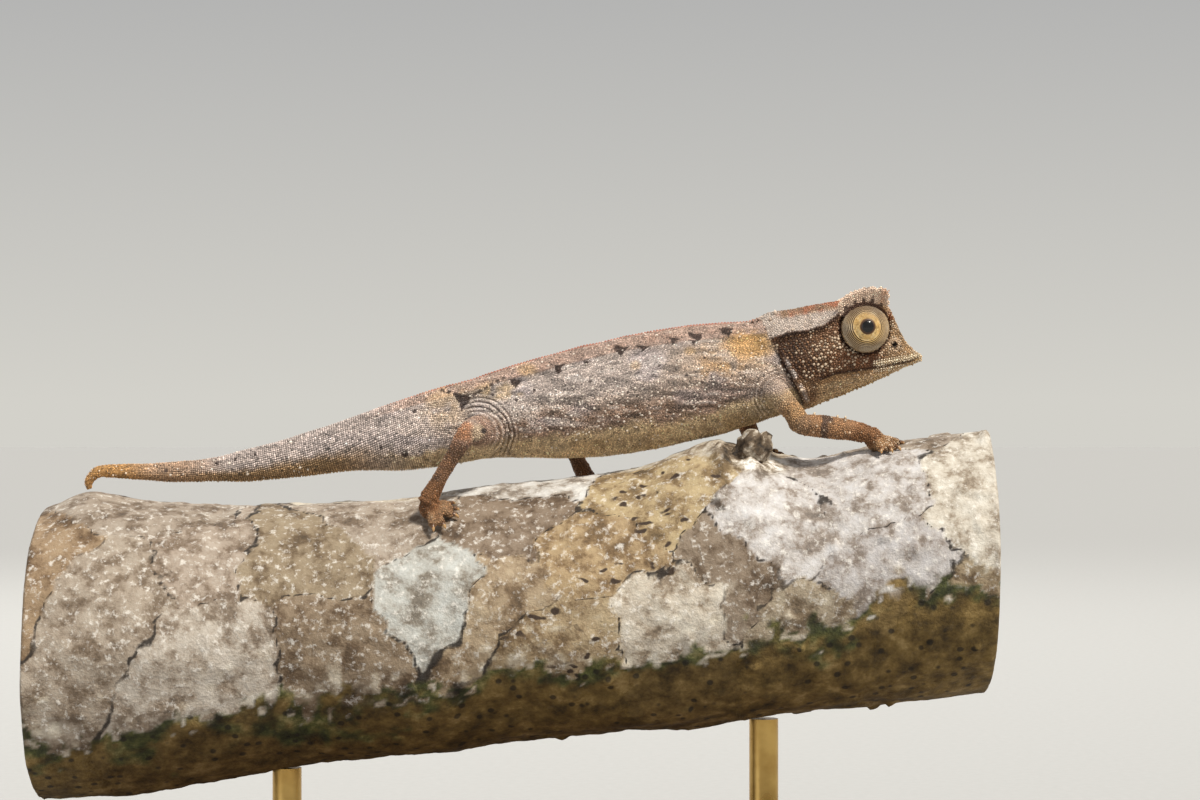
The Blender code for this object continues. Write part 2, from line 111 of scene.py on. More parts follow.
# Oiled walnut: dark brown with straight grain lines about 1.5 mm apart and fine open pores
walnut, tree = new_material("oiled walnut")
place = add(tree, "TexCoord", out="Object")
along = add(tree, "Mapping", Vector=place, Scale=(60, 650, 650))
grain = add(tree, "TexNoise", Vector=along, Scale=1.0, Detail=6.0, Roughness=0.55, Distortion=0.6)
fibre = add(tree, "Mapping", Vector=place, Scale=(300, 5000, 5000))
pores = add(tree, "TexNoise", Vector=fibre, Scale=1.0, Detail=2.0)
tone = add(
    tree, "ValToRGB", grain,
    stops=[(0.30, "#2E1B10"), (0.48, "#4A2D1B"), (0.60, "#5F3C25"), (0.75, "#3B2315")],
)
pore_tone = add(tree, "ValToRGB", pores, stops=[(0.36, "#8A7A70"), (0.46, "#FFFFFF")])
add(tree, "Mix", 1.0, tone, pore_tone, blend_type="MULTIPLY", feeds="Base Color")
add(tree, "MapRange", Value=pores, From_Min=0.35, From_Max=0.6, To_Min=0.62, To_Max=0.42, feeds="Roughness")
add(tree, "Bump", Height=pores, Strength=0.25, Distance=0.00008, feeds="Normal")

low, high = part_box("stand_base")
size = high - low
bm = bmesh.new()
bmesh.ops.create_cube(bm, size=1.0)
bm.transform(Matrix.Translation((low + high) / 2) @ Matrix.Diagonal((*size, 1.0)))
upright = [e for e in bm.edges if abs(e.verts[0].co.z - e.verts[1].co.z) > size.z / 2]
bmesh.ops.bevel(bm, geom=upright, offset=1.6 * MM, segments=6, profile=0.5, affect="EDGES")
rims = [e for e in bm.edges if e.calc_face_angle(0) > 1.2 and abs(e.verts[0].co.z - e.verts[1].co.z) < 1e-6]
bmesh.ops.bevel(bm, geom=rims, offset=0.8 * MM, segments=5, profile=0.6, affect="EDGES")
mesh = bpy.data.meshes.new("base_board")
bm.to_mesh(mesh)
bm.free()
board = piece_from(mesh, "base_board", walnut)
mesh.set_sharp_from_angle(angle=math.radians(35))
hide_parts("stand_base")

# ------------------------------------------------------------------------------ brass rods
# Two rods turned from brass bar, each with a small foot flange screwed to the board from below.
# Their tops are cut flat.

# Turned brass: warm yellow metal with fine rings from the lathe, lightly dulled by handling
brass, tree = new_material("turned brass", Metallic=1.0)
place = add(tree, "TexCoord", out="Object")
rings = add(tree, "Mapping", Vector=place, Scale=(20, 20, 9000))
lathe = add(tree, "TexNoise", Vector=rings, Scale=1.0, Detail=2.0)
cloud = add(tree, "TexNoise", Vector=place, Scale=400.0, Detail=3.0)
add(tree, "ValToRGB", cloud, stops=[(0.3, "#B08A4A"), (0.7, "#D2AE68")], feeds="Base Color")
add(tree, "MapRange", Value=cloud, To_Min=0.20, To_Max=0.38, feeds="Roughness")
add(tree, "Bump", Height=lathe, Strength=0.12, Distance=0.00003, feeds="Normal")


def grid_mesh(name, rows):
    """A closed mesh through rows of points that each close on themselves, in an array (n, m, 3)."""
    n, m = rows.shape[:2]
    low_row, spot = np.meshgrid(np.arange(n - 1), np.arange(m), indexing="ij")
    after = (spot + 1) % m
    quads = np.stack(
        [low_row * m + spot, low_row * m + after, (low_row + 1) * m + after, (low_row + 1) * m + spot], -1
    )
    faces = quads.reshape(-1, 4).tolist()
    faces += [list(range(m))[::-1], [(n - 1) * m + k for k in range(m)]]
    mesh = bpy.data.meshes.new(name)
    mesh.from_pydata(rows.reshape(-1, 3).tolist(), [], faces)
    mesh.validate()
    return mesh


def turned(name, profile, centre, sides=48):
    """A solid of revolution about a vertical line. profile is a list of (radius, height)."""
    turn = np.linspace(0, 2 * math.pi, sides, endpoint=False)
    rows = [
        np.stack([centre[0] + r * np.cos(turn), centre[1] + r * np.sin(turn), np.full(sides, z)], -1)
        for r, z in profile
    ]
    return grid_mesh(name, np.array(rows))


for word in ("front", "rear"):
    low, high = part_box(f"stand_rod_{word}")
    middle = (low + high) / 2
    foot_r, rod_r = (high.x - low.x) / 2, 1.4 * MM
    z = low.z
    profile = [
        (foot_r - 0.15 * MM, z),
        (foot_r, z + 0.15 * MM),
        (foot_r, z + 0.40 * MM),
        (foot_r - 0.20 * MM, z + 0.60 * MM),
        (rod_r + 0.9 * MM, z + 0.68 * MM),
        (rod_r + 0.45 * MM, z + 0.80 * MM),
        (rod_r + 0.15 * MM, z + 1.05 * MM),
        (rod_r, z + 1.40 * MM),
        (rod_r, high.z - 0.05 * MM),
    ]
    rod = piece_from(turned(f"rod_{word}", profile, middle), f"rod_{word}", brass)
    rod.data.set_sharp_from_angle(angle=math.radians(50))
    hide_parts(f"stand_rod_{word}")

# ------------------------------------------------------------------------------ cut branch
# A living forest branch, 25 mm thick, sawn square at both ends. Its bark is hidden by crusty
# lichens that meet along thin dark lines, with mossy film below, darkened in part as painted shade,
# and a broken twig on a swelling.

PERCH_HALF = 45.4
PERCH_HEIGHT, PERCH_SLOPE, PERCH_BEND = 26.65, 0.100, 0.0003
PERCH_RADIUS, PERCH_BUTT = 12.6, 1.4
BARK_RADIUS = 13.0  # out to the crusts on the bark
SWELLINGS = ((-41.0, 0.00, 1.40, 2.3, 0.30), (19.4, 0.25, 2.60, 4.4, 0.45), (28.4, 0.10, -1.00, 3.4, 0.50))
FOOTHOLDS = (
    (-7.6, -7.4, 36.4), (8.0, 7.4, 38.6), (35.2, -3.4, 42.4), (24.4, 5.4, 41.4), (-41.0, 0.0, 38.3)
)


def lumps(points, size, seed=0):
    """Smooth random values from -1 to 1 that change over about size, for points (n, 3)."""
    cell = np.asarray(points, float) / size
    low = np.floor(cell).astype(np.int64)
    part = cell - low
    part = part * part * (3 - 2 * part)
    total = np.zeros(len(cell))
    for corner in np.ndindex(2, 2, 2):
        at = low + np.array(corner)
        mixed = at[:, 0] * 73856093 ^ at[:, 1] * 19349663 ^ at[:, 2] * 83492791 ^ (seed + 1) * 40503
        mixed = (mixed ^ (mixed >> 13)) * 1274126177 & 0x7FFFFFFF
        value = ((mixed ^ (mixed >> 15)) & 0xFFFF) / 32767.5 - 1
        total += value * np.prod(np.where(corner, part, 1 - part), axis=1)
    return total


def ease(low, high, value):
    """0 below low, 1 above high and a smooth step between them. low may be the larger."""
    t = np.clip((value - low) / (high - low), 0, 1)
    return t * t * (3 - 2 * t)


def put_tone(mesh, tone):
    """Stores a colour for each point, for the material to read."""
    layer = mesh.color_attributes.new("tone", "FLOAT_COLOR", "POINT")
    layer.data.foreach_set("color", np.column_stack([tone, np.ones(len(tone))]).astype(np.float32).ravel())


def perch_middle(x):
    """Height of the middle of the branch."""
    return PERCH_HEIGHT + PERCH_SLOPE * x + PERCH_BEND * x * x


def perch_surface(x, turn, rise=0.0):
    """Points on the branch. turn is 0 at the top and positive towards the near side."""
    radius = PERCH_RADIUS + PERCH_BUTT * ease(-18.0, -40.0, x) + rise
    for at, about, height, length, spread in SWELLINGS:
        round_it = (turn - about + math.pi) % (2 * math.pi) - math.pi
        radius = radius + height * np.exp(-(((x - at) / length) ** 2 + (round_it / spread) ** 2) / 2)
    return np.stack([x, -radius * np.sin(turn), perch_middle(x) + radius * np.cos(turn)], -1)


# Crusts of lichen on the bark: x and height of their middles on the near side, and their colour.
# They grow until they meet, and a thin black line stands where two kinds touch.
CRUSTS = (
    (-46.0, 31.0, "#9A8469"), (-38.6, 28.6, "#A69A8B"), (-36.7, 36.1, "#A09486"), (-28.3, 32.3, "#A89B8D"),
    (-26.4, 24.9, "#BDB4A8"), (-19.9, 33.0, "#95866F"), (-17.0, 26.7, "#8F7E69"), (-12.5, 36.8, "#A89C8E"),
    (-6.8, 30.5, "#B9BAB5"), (0.2, 36.6, "#8A7A69"), (2.0, 39.6, "#CFCDC9"), (-1.2, 28.9, "#AA987E"),
    (8.4, 33.4, "#AC9674"), (4.5, 26.2, "#AD9A7B"), (12.2, 38.2, "#B5A27E"), (17.2, 41.5, "#C4BBAA"),
    (20.8, 31.2, "#8D7E6D"), (16.6, 27.6, "#C9C0B1"), (26.2, 36.0, "#C9C6C5"), (31.6, 39.2, "#C5C2C1"),
    (34.6, 31.0, "#BBB7B6"), (28.0, 26.6, "#A99C87"), (43.4, 38.4, "#CCC6BA"), (40.0, 26.5, "#A39379"),
)
LEVEL_LEFT, LEVEL_RIGHT = -0.46, -0.20  # where the crusts end and the damp film begins, by height

# Bark under crusty lichen: dry and chalky, finely mottled, with dark hairlines between patches,
# black script-like flecks on the cream ones, warts, and an olive to brown film underneath, its
# darkness partly painted shade
bark, tree = new_material("lichen crusted bark", Roughness=0.8, Specular_IOR_Level=0.4)
place = add(tree, "TexCoord", out="Object")
crust = add(tree, "Attribute", attribute_name="tone")
border = add(tree, "Attribute", attribute_name="border", out="Fac")
cloud = add(tree, "TexNoise", Vector=place, Scale=430.0, Detail=8.0, Roughness=0.68)
cloud_tone = add(
    tree, "ValToRGB", cloud,
    stops=[(0.30, "#554638"), (0.42, "#A0907F"), (0.52, "#E6E1DC"), (0.64, "#FFFFFF")],
)
mottled = add(tree, "Mix", 0.9, crust, cloud_tone, blend_type="MULTIPLY")
dust = add(tree, "TexNoise", Vector=place, Scale=1500.0, Detail=5.0, Roughness=0.7)
bright = add(tree, "MapRange", Value=dust, From_Min=0.54, From_Max=0.66, To_Max=0.55)
dusted = add(tree, "Mix", bright, mottled, colour("#EDE8E0"))
# the hairline between patches, ragged and broken
ragged = add(tree, "Math", dust, 0.35, operation="MULTIPLY")
line_at = add(tree, "Math", border, ragged, operation="ADD")
line = add(tree, "MapRange", Value=line_at, From_Min=0.27, From_Max=0.42, To_Min=1.0, To_Max=0.0)
broad = add(tree, "TexNoise", Vector=place, Scale=110.0, Detail=3.0)
gaps = add(tree, "MapRange", Value=broad, From_Min=0.53, From_Max=0.70, To_Min=0.95, To_Max=0.05)
lines = add(tree, "Math", line, gaps, operation="MULTIPLY")
lined = add(tree, "Mix", lines, dusted, colour("#2B241E"))
# short black flecks, 0.6 to 1.5 mm long, on the cream patches
flecked = add(tree, "Attribute", attribute_name="flecked", out="Fac")
warp = add(tree, "TexNoise", Vector=place, Scale=300.0, Detail=3.0, out="Color")
push = add(tree, "VectorMath", warp, Scale=0.0035, operation="SCALE")
bent = add(tree, "VectorMath", place, push, operation="ADD")
stretch = add(tree, "Mapping", Vector=bent, Rotation=(0.2, 0.9, 0.1), Scale=(420, 800, 880))
fleck = add(tree, "TexVoronoi", Vector=stretch, Scale=1.0, feature="F1")
fleck_on = add(tree, "MapRange", Value=fleck, From_Min=0.20, From_Max=0.30, To_Min=1.0, To_Max=0.0)
flecks = add(tree, "Math", fleck_on, flecked, operation="MULTIPLY")
speckled = add(tree, "Mix", flecks, lined, colour("#3B2D22"))
# damp film on the underside, partly its own colour and partly painted shade: olive green and darkest
# where it begins, as a painted shadow just under the crusts' edge, ochre brown with pits below
under = add(tree, "Attribute", attribute_name="under", out="Fac")
lower = add(tree, "Attribute", attribute_name="lower", out="Fac")
film_and_painted_shadow = add(
    tree, "ValToRGB", cloud,
    stops=[(0.34, "#17180A"), (0.46, "#33381A"), (0.56, "#4F5226"), (0.68, "#8C8455")],
)
clay = add(
    tree, "ValToRGB", cloud,
    stops=[(0.32, "#33260F"), (0.46, "#5E4A22"), (0.57, "#7C6434"), (0.70, "#A58C5A")],
)
damp = add(tree, "Mix", lower, film_and_painted_shadow, clay)
pit = add(tree, "TexVoronoi", Vector=place, Scale=650.0, feature="F1")
pit_on = add(tree, "MapRange", Value=pit, From_Min=0.16, From_Max=0.26, To_Min=0.8, To_Max=0.0)
pitted = add(tree, "Mix", pit_on, damp, colour("#120E06"))
below = add(tree, "Mix", under, speckled, pitted)
bare = add(tree, "Attribute", attribute_name="bare", out="Fac")
old_wood = add(
    tree, "ValToRGB", cloud,
    stops=[(0.36, "#1E1710"), (0.47, "#5B4A37"), (0.54, "#A79A88"), (0.62, "#EDEAE4")],
)
add(tree, "Mix", bare, below, old_wood, feeds="Base Color")
grit = add(tree, "TexNoise", Vector=place, Scale=3600.0, Detail=3.0, Roughness=0.6)
relief = add(tree, "Math", dust, grit, operation="ADD")
raised = add(tree, "Math", relief, lines, operation="SUBTRACT")
add(tree, "Bump", Height=raised, Strength=0.55, Distance=0.00022, feeds="Normal")

# Sawn end grain: pale wood with rings about 0.9 mm apart, fine saw marks and a few drying cracks
end_grain, tree = new_material("sawn end grain", Roughness=0.75)
place = add(tree, "TexCoord", out="Object")
seat = add(tree, "Attribute", attribute_name="heart", out="Fac")
wobble = add(tree, "TexNoise", Vector=place, Scale=220.0, Detail=3.0)
drift = add(tree, "Math", wobble, 0.10, operation="MULTIPLY")
ring_at = add(tree, "Math", seat, drift, operation="ADD")
ring_no = add(tree, "Math", ring_at, 14.0, operation="MULTIPLY")
ring_part = add(tree, "Math", ring_no, operation="FRACT")
ring_tone = add(
    tree, "ValToRGB", ring_part,
    stops=[(0.0, "#BD9C72"), (0.55, "#C9AB80"), (0.86, "#A98657"), (1.0, "#8F6C42")],
)
rays = add(tree, "Attribute", attribute_name="crack", out="Fac")
rim = add(tree, "MapRange", Value=seat, From_Min=0.86, From_Max=0.93)
cracked = add(tree, "Mix", rays, ring_tone, colour("#3A2817"))
with_bark = add(tree, "Mix", rim, cracked, colour("#5A4430"))
saw = add(tree, "Mapping", Vector=place, Rotation=(0.35, 0, 0), Scale=(1, 3200, 60))
saw_marks = add(tree, "TexNoise", Vector=saw, Scale=1.0, Detail=2.0)
saw_tone = add(tree, "ValToRGB", saw_marks, stops=[(0.35, "#D8CCBA"), (0.60, "#FFFFFF")])
add(tree, "Mix", 0.8, with_bark, saw_tone, blend_type="MULTIPLY", feeds="Base Color")
add(tree, "Bump", Height=saw_marks, Strength=0.4, Distance=0.0001, feeds="Normal")

PERCH_ROWS, PERCH_SIDES = 270, 260
x, turn = np.meshgrid(
    np.linspace(-PERCH_HALF, PERCH_HALF, PERCH_ROWS),
    -np.linspace(0, 2 * math.pi, PERCH_SIDES, endpoint=False),
    indexing="ij",
)
smooth_form = perch_surface(x, turn).reshape(-1, 3)
calm = np.ones(len(smooth_form))
for hold in FOOTHOLDS:
    calm *= 1 - 0.85 * ease(3.4, 1.6, np.linalg.norm(smooth_form - hold, axis=1))
rise = (
    0.42 * lumps(smooth_form, 9.0, 1)
    + 0.24 * lumps(smooth_form * (0.6, 1, 1), 3.4, 2)
    + 0.12 * lumps(smooth_form, 1.4, 3)
    + 0.07 * lumps(smooth_form, 0.6, 4)
)
# warts and scars: small raised spots, thickest towards the snout end
wart_land = ease(0.1, 0.6, lumps(smooth_form, 14.0, 8) + smooth_form[:, 0] / 60)
rise += 0.35 * (ease(0.60, 0.85, lumps(smooth_form, 1.5, 7)) * wart_land)
# the swelling below the broken twig is folded, as bark is round an old branch
knot = np.linalg.norm((smooth_form - (21.4, -3.6, 41.2)) * (0.8, 1, 1), axis=1)
swirl = np.arctan2(smooth_form[:, 2] - 39.0, smooth_form[:, 0] - 21.4)
near_knot = ease(6.5, 2.5, knot)
rise += near_knot * (
    0.28 * np.sin(swirl * 7 + 2.2 * lumps(smooth_form, 2.5, 9)) + 0.25 * lumps(smooth_form, 0.9, 10)
)
perch_points = perch_surface(x, turn, (rise * calm - 0.12 * calm).reshape(x.shape))
# both ends are sawn: flat faces in rings round the heart, with the bark's edge a little broken
cuts = []
for end, way in ((0, -1), (-1, 1)):
    middle = perch_points[end].mean(axis=0)
    perch_points[end, :, 0] -= 0.18 * way
    face = [
        middle + (perch_points[end] + (0.18 * way, 0, 0) - middle) * share
        for share in np.linspace(0.985, 0.05, 16)
    ]
    cuts.append(np.array(face))
mesh = grid_mesh("cut_branch", np.concatenate([cuts[0][::-1], perch_points, cuts[1]]) * MM)

# the broken twig: a gnarled stump with a splintered top, ribbed and holed by rot
foot, tip = np.array((21.6, -3.8, 40.2)), np.array((23.7, -5.4, 43.9))
STUMP_LONG, STUMP_RINGS, STUMP_SIDES = 4.6, 40, 96
axis = (tip - foot) / np.linalg.norm(tip - foot)
side = np.cross(axis, (0, 1, 0))
side /= np.linalg.norm(side)
other = np.cross(axis, side)
share = np.linspace(0, 1, STUMP_RINGS)
wide = np.interp(share, (0, 0.35, 0.8, 0.93, 1), (2.8, 1.95, 1.80, 1.45, 0.7))
angle = -np.linspace(0, 2 * math.pi, STUMP_SIDES, endpoint=False)
circle = np.cos(angle)[:, None] * side + np.sin(angle)[:, None] * other
stump = (foot + share[:, None, None] * axis * STUMP_LONG + wide[:, None, None] * circle).reshape(-1, 3)
high_up = np.repeat(share, STUMP_SIDES)
about = np.tile(angle, STUMP_RINGS)
outward = np.tile(circle, (STUMP_RINGS, 1))
ribs = 0.22 * np.sin(about * 5 + 3 * high_up + 1.5 * lumps(stump, 2.0, 16))
rot = ease(0.25, 0.6, lumps(stump, 1.7, 17)) * ease(0.1, 0.4, high_up)
ragged = ribs + 0.35 * lumps(stump, 1.1, 11) + 0.16 * lumps(stump, 0.45, 12) - 1.0 * rot - 0.1
splinters = 0.75 * ease(0.75, 1.0, high_up) * lumps(stump, 0.8, 13)
stump = stump + outward * ragged[:, None] + axis * splinters[:, None]
stump_mesh = grid_mesh("stump", stump.reshape(STUMP_RINGS, STUMP_SIDES, 3) * MM)
bm = bmesh.new()
bm.from_mesh(mesh)
bm.from_mesh(stump_mesh)
bm.to_mesh(mesh)
bm.free()
branch = piece_from(mesh, "cut_branch", bark)
mesh.materials.append(end_grain)
points = np.array([v.co for v in mesh.vertices]) / MM
centre_z = PERCH_HEIGHT + PERCH_SLOPE * points[:, 0] + PERCH_BEND * points[:, 0] ** 2
out = np.hypot(points[:, 1], points[:, 2] - centre_z)
low_side = (points[:, 2] - centre_z) / np.maximum(out, 1e-6)
level = LEVEL_LEFT + (LEVEL_RIGHT - LEVEL_LEFT) * ease(-30, 25, points[:, 0])
for size, share, seed in ((6.0, 0.16, 14), (1.9, 0.12, 15), (0.8, 0.10, 39)):
    level = level + share * lumps(points, size, seed)
crumbs = ease(0.25, 0.6, lumps(points, 0.9, 47)) * ease(0.3, 0.1, np.abs(low_side - level))
level = level - 0.16 * crumbs
# each point takes the crust whose middle is nearest, once the points are shaken a little; the far
# side has the same kinds of crust in other places
shaken = [
    2.2 * lumps(points, 5.0, 18 + k) + 0.8 * lumps(points, 1.5, 28 + k) + 0.3 * lumps(points, 0.6, 38 + k)
    for k in range(3)
]
shaken = points + np.stack(shaken, -1)
first, second = np.full(len(points), 1e9), np.full(len(points), 1e9)
tone = np.zeros((len(points), 3))
cream = np.zeros(len(points))
hollow = np.zeros(len(points))
hollow[-len(stump) :] = rot
for far_side in (-1, 1):
    for x, z, code in CRUSTS:
        x = x if far_side < 0 else -x * 0.9 + 4
        middle = perch_middle(x)
        z = z if far_side < 0 else middle + 0.9 * (z - PERCH_HEIGHT - PERCH_SLOPE * -x)
        reach = math.acos(max(min((z - middle) / BARK_RADIUS, 1), -1))
        spot = perch_surface(np.array([x]), np.array([-far_side * reach]))[0]
        away = np.linalg.norm((shaken - spot) * (0.85, 1, 1), axis=1)
        nearer = away < first
        second = np.where(nearer, first, np.minimum(second, away))
        first = np.where(nearer, away, first)
        tone[nearer] = linear(code)
        cream[nearer] = linear(code)[0] - linear(code)[2] > 0.20
tone = np.where(hollow[:, None] > 0.3, linear("#17130C"), tone)
tone = tone + (linear("#E4DDCC") - tone) * 0.6 * crumbs[:, None]
# drying has opened a few thin cracks in the sawn ends, from the heart outwards
turned_by = np.arctan2(points[:, 1], points[:, 2] - centre_z)
cracks = np.zeros(len(points))
for at, inner, outer in (
    (0.6, 0.3, 6.5), (1.9, 1.0, 9.5), (-2.6, 0.5, 8.0), (-1.0, 2.5, 11.0), (2.9, 3.0, 10.0)
):
    bent = at + 0.05 * lumps(points, 3.0, 48)
    gap = np.abs((turned_by - bent + math.pi) % (2 * math.pi) - math.pi)
    crack = ease(0.034, 0.010, gap) * ease(inner, inner + 1, out) * ease(outer, outer - 3, out)
    cracks = np.maximum(cracks, crack)
film_edge = low_side - level + 0.22 * lumps(points, 5.0, 45) + 0.06 * lumps(points, 1.2, 46)
from_twig = np.linalg.norm((points - (22.6, -4.6, 42.2)) * (0.9, 1, 1), axis=1)
values = {
    "crack": cracks * 0.9,
    "under": ease(0.03, -0.03, low_side - level) * 0.97,
    "lower": ease(-0.04, -0.22, film_edge),
    "bare": ease(4.6, 2.6, from_twig) * 0.95 * (1 - hollow),
    "heart": np.clip(out / BARK_RADIUS, 0, 1),
    "border": second - first,
    "flecked": cream * ease(0.0, 0.3, lumps(points, 4.0, 19) + 0.4),
}
put_tone(mesh, tone)
for name, value in values.items():
    mesh.attributes.new(name, "FLOAT", "POINT").data.foreach_set("value", value.astype(np.float32))
for face in mesh.polygons:
    if abs(face.normal.x) > 0.97 and abs(face.center.x) > (PERCH_HALF - 0.1) * MM:
        face.material_index, face.use_smooth = 1, False
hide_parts("perch")

# ------------------------------------------------------------------------------ skin
# One thin hide drawn over head, trunk, tail, legs and toes without a seam. It is dry and matt,
# folded where the limbs and neck bend, and carries the brown, grey and ochre of a dead leaf.

SPINE = (  # x, z, half height and half width of the body, from the tail tip to the nape
    (-41.02, 38.62, 0.26, 0.26), (-41.16, 39.35, 0.44, 0.42), (-40.72, 40.02, 0.54, 0.52),
    (-39.90, 40.42, 0.61, 0.60), (-37.15, 40.42, 0.74, 0.70), (-33.29, 40.38, 0.92, 0.85),
    (-29.43, 40.58, 1.12, 1.02), (-25.57, 41.01, 1.57, 1.30), (-20.75, 41.93, 1.96, 1.60),
    (-15.92, 42.97, 2.50, 2.00), (-11.10, 43.79, 3.32, 2.45), (-7.24, 44.61, 3.72, 2.75),
    (-3.38, 45.50, 3.95, 3.05), (0.48, 46.18, 4.53, 3.40), (4.34, 46.71, 5.10, 3.70),
    (8.20, 47.31, 5.48, 3.85), (12.06, 48.03, 5.66, 3.90), (15.92, 48.78, 5.55, 3.80),
    (19.78, 49.48, 5.32, 3.60), (22.68, 50.04, 5.00, 3.35), (25.40, 50.66, 4.60, 3.05),
    (27.60, 51.00, 4.15, 2.80),
)
KEEL = 0.34  # how far the back is pinched towards its ridge, as a share of the half width
SKULL = (  # x, crown, half width and height of crest, cheek and jaw, throat
    (22.60, 55.00, 2.20, 53.10, 2.70, 50.80, 2.00, 47.60, 46.20),
    (24.60, 55.90, 2.90, 53.40, 3.10, 50.95, 2.40, 47.80, 45.90),
    (26.54, 56.16, 3.50, 53.75, 3.75, 50.95, 2.80, 48.06, 46.13),
    (28.27, 56.50, 3.75, 54.04, 4.05, 51.15, 2.85, 48.44, 46.42),
    (29.91, 56.74, 3.70, 54.72, 4.00, 51.53, 2.70, 48.93, 47.14),
    (31.85, 56.94, 3.50, 55.78, 3.65, 51.92, 2.50, 49.41, 47.86),
    (33.77, 56.40, 3.20, 56.60, 3.10, 52.11, 2.25, 49.99, 48.68),
    (35.42, 55.30, 2.75, 56.55, 2.45, 52.30, 1.95, 50.37, 49.41),
    (36.48, 53.90, 2.10, 55.10, 1.95, 52.40, 1.60, 50.66, 49.89),
    (37.54, 52.70, 1.35, 53.10, 1.45, 51.92, 1.20, 50.95, 50.37),
    (38.50, 51.95, 0.90, 52.10, 1.00, 51.53, 0.80, 51.05, 50.76),
    (39.25, 51.50, 0.35, 51.50, 0.45, 51.35, 0.35, 51.20, 51.10),
)
EYE_CENTRE = np.array((33.52, 2.95, 54.15))
LIMBS = {  # x, y, z and radius: from the trunk over the bend (fourth row) to the ankle (last)
    "front_right": (
        (24.2, -1.60, 48.9, 1.40), (25.5, -3.70, 47.5, 1.08), (26.7, -5.10, 45.9, 1.00),
        (27.3, -5.55, 45.0, 1.04), (29.4, -5.10, 44.75, 1.16), (31.8, -4.20, 44.50, 1.06),
        (33.9, -3.60, 44.05, 0.85),
    ),
    "front_left": (
        (23.6, 1.60, 48.9, 1.30), (22.9, 4.00, 48.6, 0.95), (22.2, 6.10, 48.3, 0.90),
        (22.0, 6.60, 47.4, 0.98), (22.4, 6.30, 45.6, 1.00), (22.9, 5.80, 44.2, 0.92),
        (23.3, 5.40, 43.0, 0.78),
    ),
    "hind_right": (
        (-2.6, -1.60, 44.1, 2.00), (-3.0, -3.80, 44.3, 1.75), (-3.9, -6.20, 44.4, 1.20),
        (-4.5, -7.10, 43.9, 1.00), (-5.9, -7.60, 41.6, 0.72), (-7.4, -7.90, 39.0, 0.80),
        (-8.1, -8.00, 37.6, 0.96),
    ),
    "hind_left": (
        (-2.6, 1.60, 44.1, 2.00), (-0.4, 4.00, 45.2, 1.75), (2.6, 6.40, 46.4, 1.20),
        (3.6, 7.00, 46.2, 1.00), (4.9, 7.40, 43.6, 0.72), (6.2, 7.80, 40.9, 0.80),
        (6.8, 8.00, 39.6, 0.96),
    ),
}
STANCES = {  # turn round the branch, outer toes, inner toes, heading in degrees, reach past the ankle
    "front_right": (0.24, 2, 3, 20, 0.70),
    "front_left": (-0.40, 2, 3, -20, 0.40),
    "hind_right": (0.60, 3, 2, 40, 0.40),
    "hind_left": (-0.60, 3, 2, -30, 0.60),
}
TOE_SPREAD, TOE_GAP, TOE_RADIUS = math.radians(40), math.radians(24), 0.40
SKIN_VOXEL = 0.155


def unit(vectors):
    return vectors / np.maximum(np.linalg.norm(vectors, axis=-1, keepdims=True), 1e-9)


def through(rows, steps):
    """Rows of numbers on a smooth curve through the given ones, which stay on it (Catmull-Rom)."""
    rows = np.asarray(rows, float)
    ends = np.concatenate([rows[:1], rows, rows[-1:]])
    t = (np.arange(steps) / steps)[None, :, None]
    a, b, c, d = (ends[k : k + len(rows) - 1, None] for k in range(4))
    bent = (2 * a - 5 * b + 4 * c - d) * t**2 + (3 * b - a - 3 * c + d) * t**3
    return np.concatenate([0.5 * (2 * b + (c - a) * t + bent).reshape(-1, rows.shape[1]), rows[-1:]])


def tube_rows(path, sides=18):
    """Round rings, square to a path whose rows are x, y, z and radius."""
    path = np.asarray(path, float)
    along = unit(np.gradient(path[:, :3], axis=0))
    side = unit(np.cross(along, (0.29, 0.48, 0.83)))
    up = np.cross(along, side)
    turn = np.linspace(0, 2 * math.pi, sides, endpoint=False)[:, None]
    return path[:, None, :3] + path[:, None, 3:] * (
        np.cos(turn) * side[:, None] + np.sin(turn) * up[:, None]
    )


def trunk_ring(station, slope, turn):
    """Points round the body at a station (x, z, half height, half width). turn is 0 on the back."""
    x, z, half_height, half_width = station
    rise = half_height * np.cos(turn)
    side = half_width * np.sin(turn) * (1 - KEEL * np.maximum(np.cos(turn), 0) ** 1.5)
    return np.stack([x - rise * np.sin(slope), side, z + rise * np.cos(slope)], -1)


def skull_rows():
    rows = []
    for x, crown, crest_y, crest_z, cheek_y, cheek_z, jaw_y, jaw_z, throat in through(SKULL, 5):
        temple_y = 0.55 * crest_y + 0.45 * cheek_y - 0.12
        half = (
            (0.0, crown),
            (0.55 * crest_y, 0.5 * (crown + crest_z) + 0.1),
            (crest_y, crest_z),
            (temple_y, 0.6 * crest_z + 0.4 * cheek_z),
            (cheek_y, cheek_z),
            (jaw_y, jaw_z),
            (0.45 * jaw_y, 0.25 * jaw_z + 0.75 * throat),
            (0.0, throat),
        )
        outline = through(half, 3)
        outline = np.concatenate([outline * (-1, 1), outline[-2:0:-1]])
        rows.append(np.column_stack([np.full(len(outline), x), outline]))
    return np.array(rows)


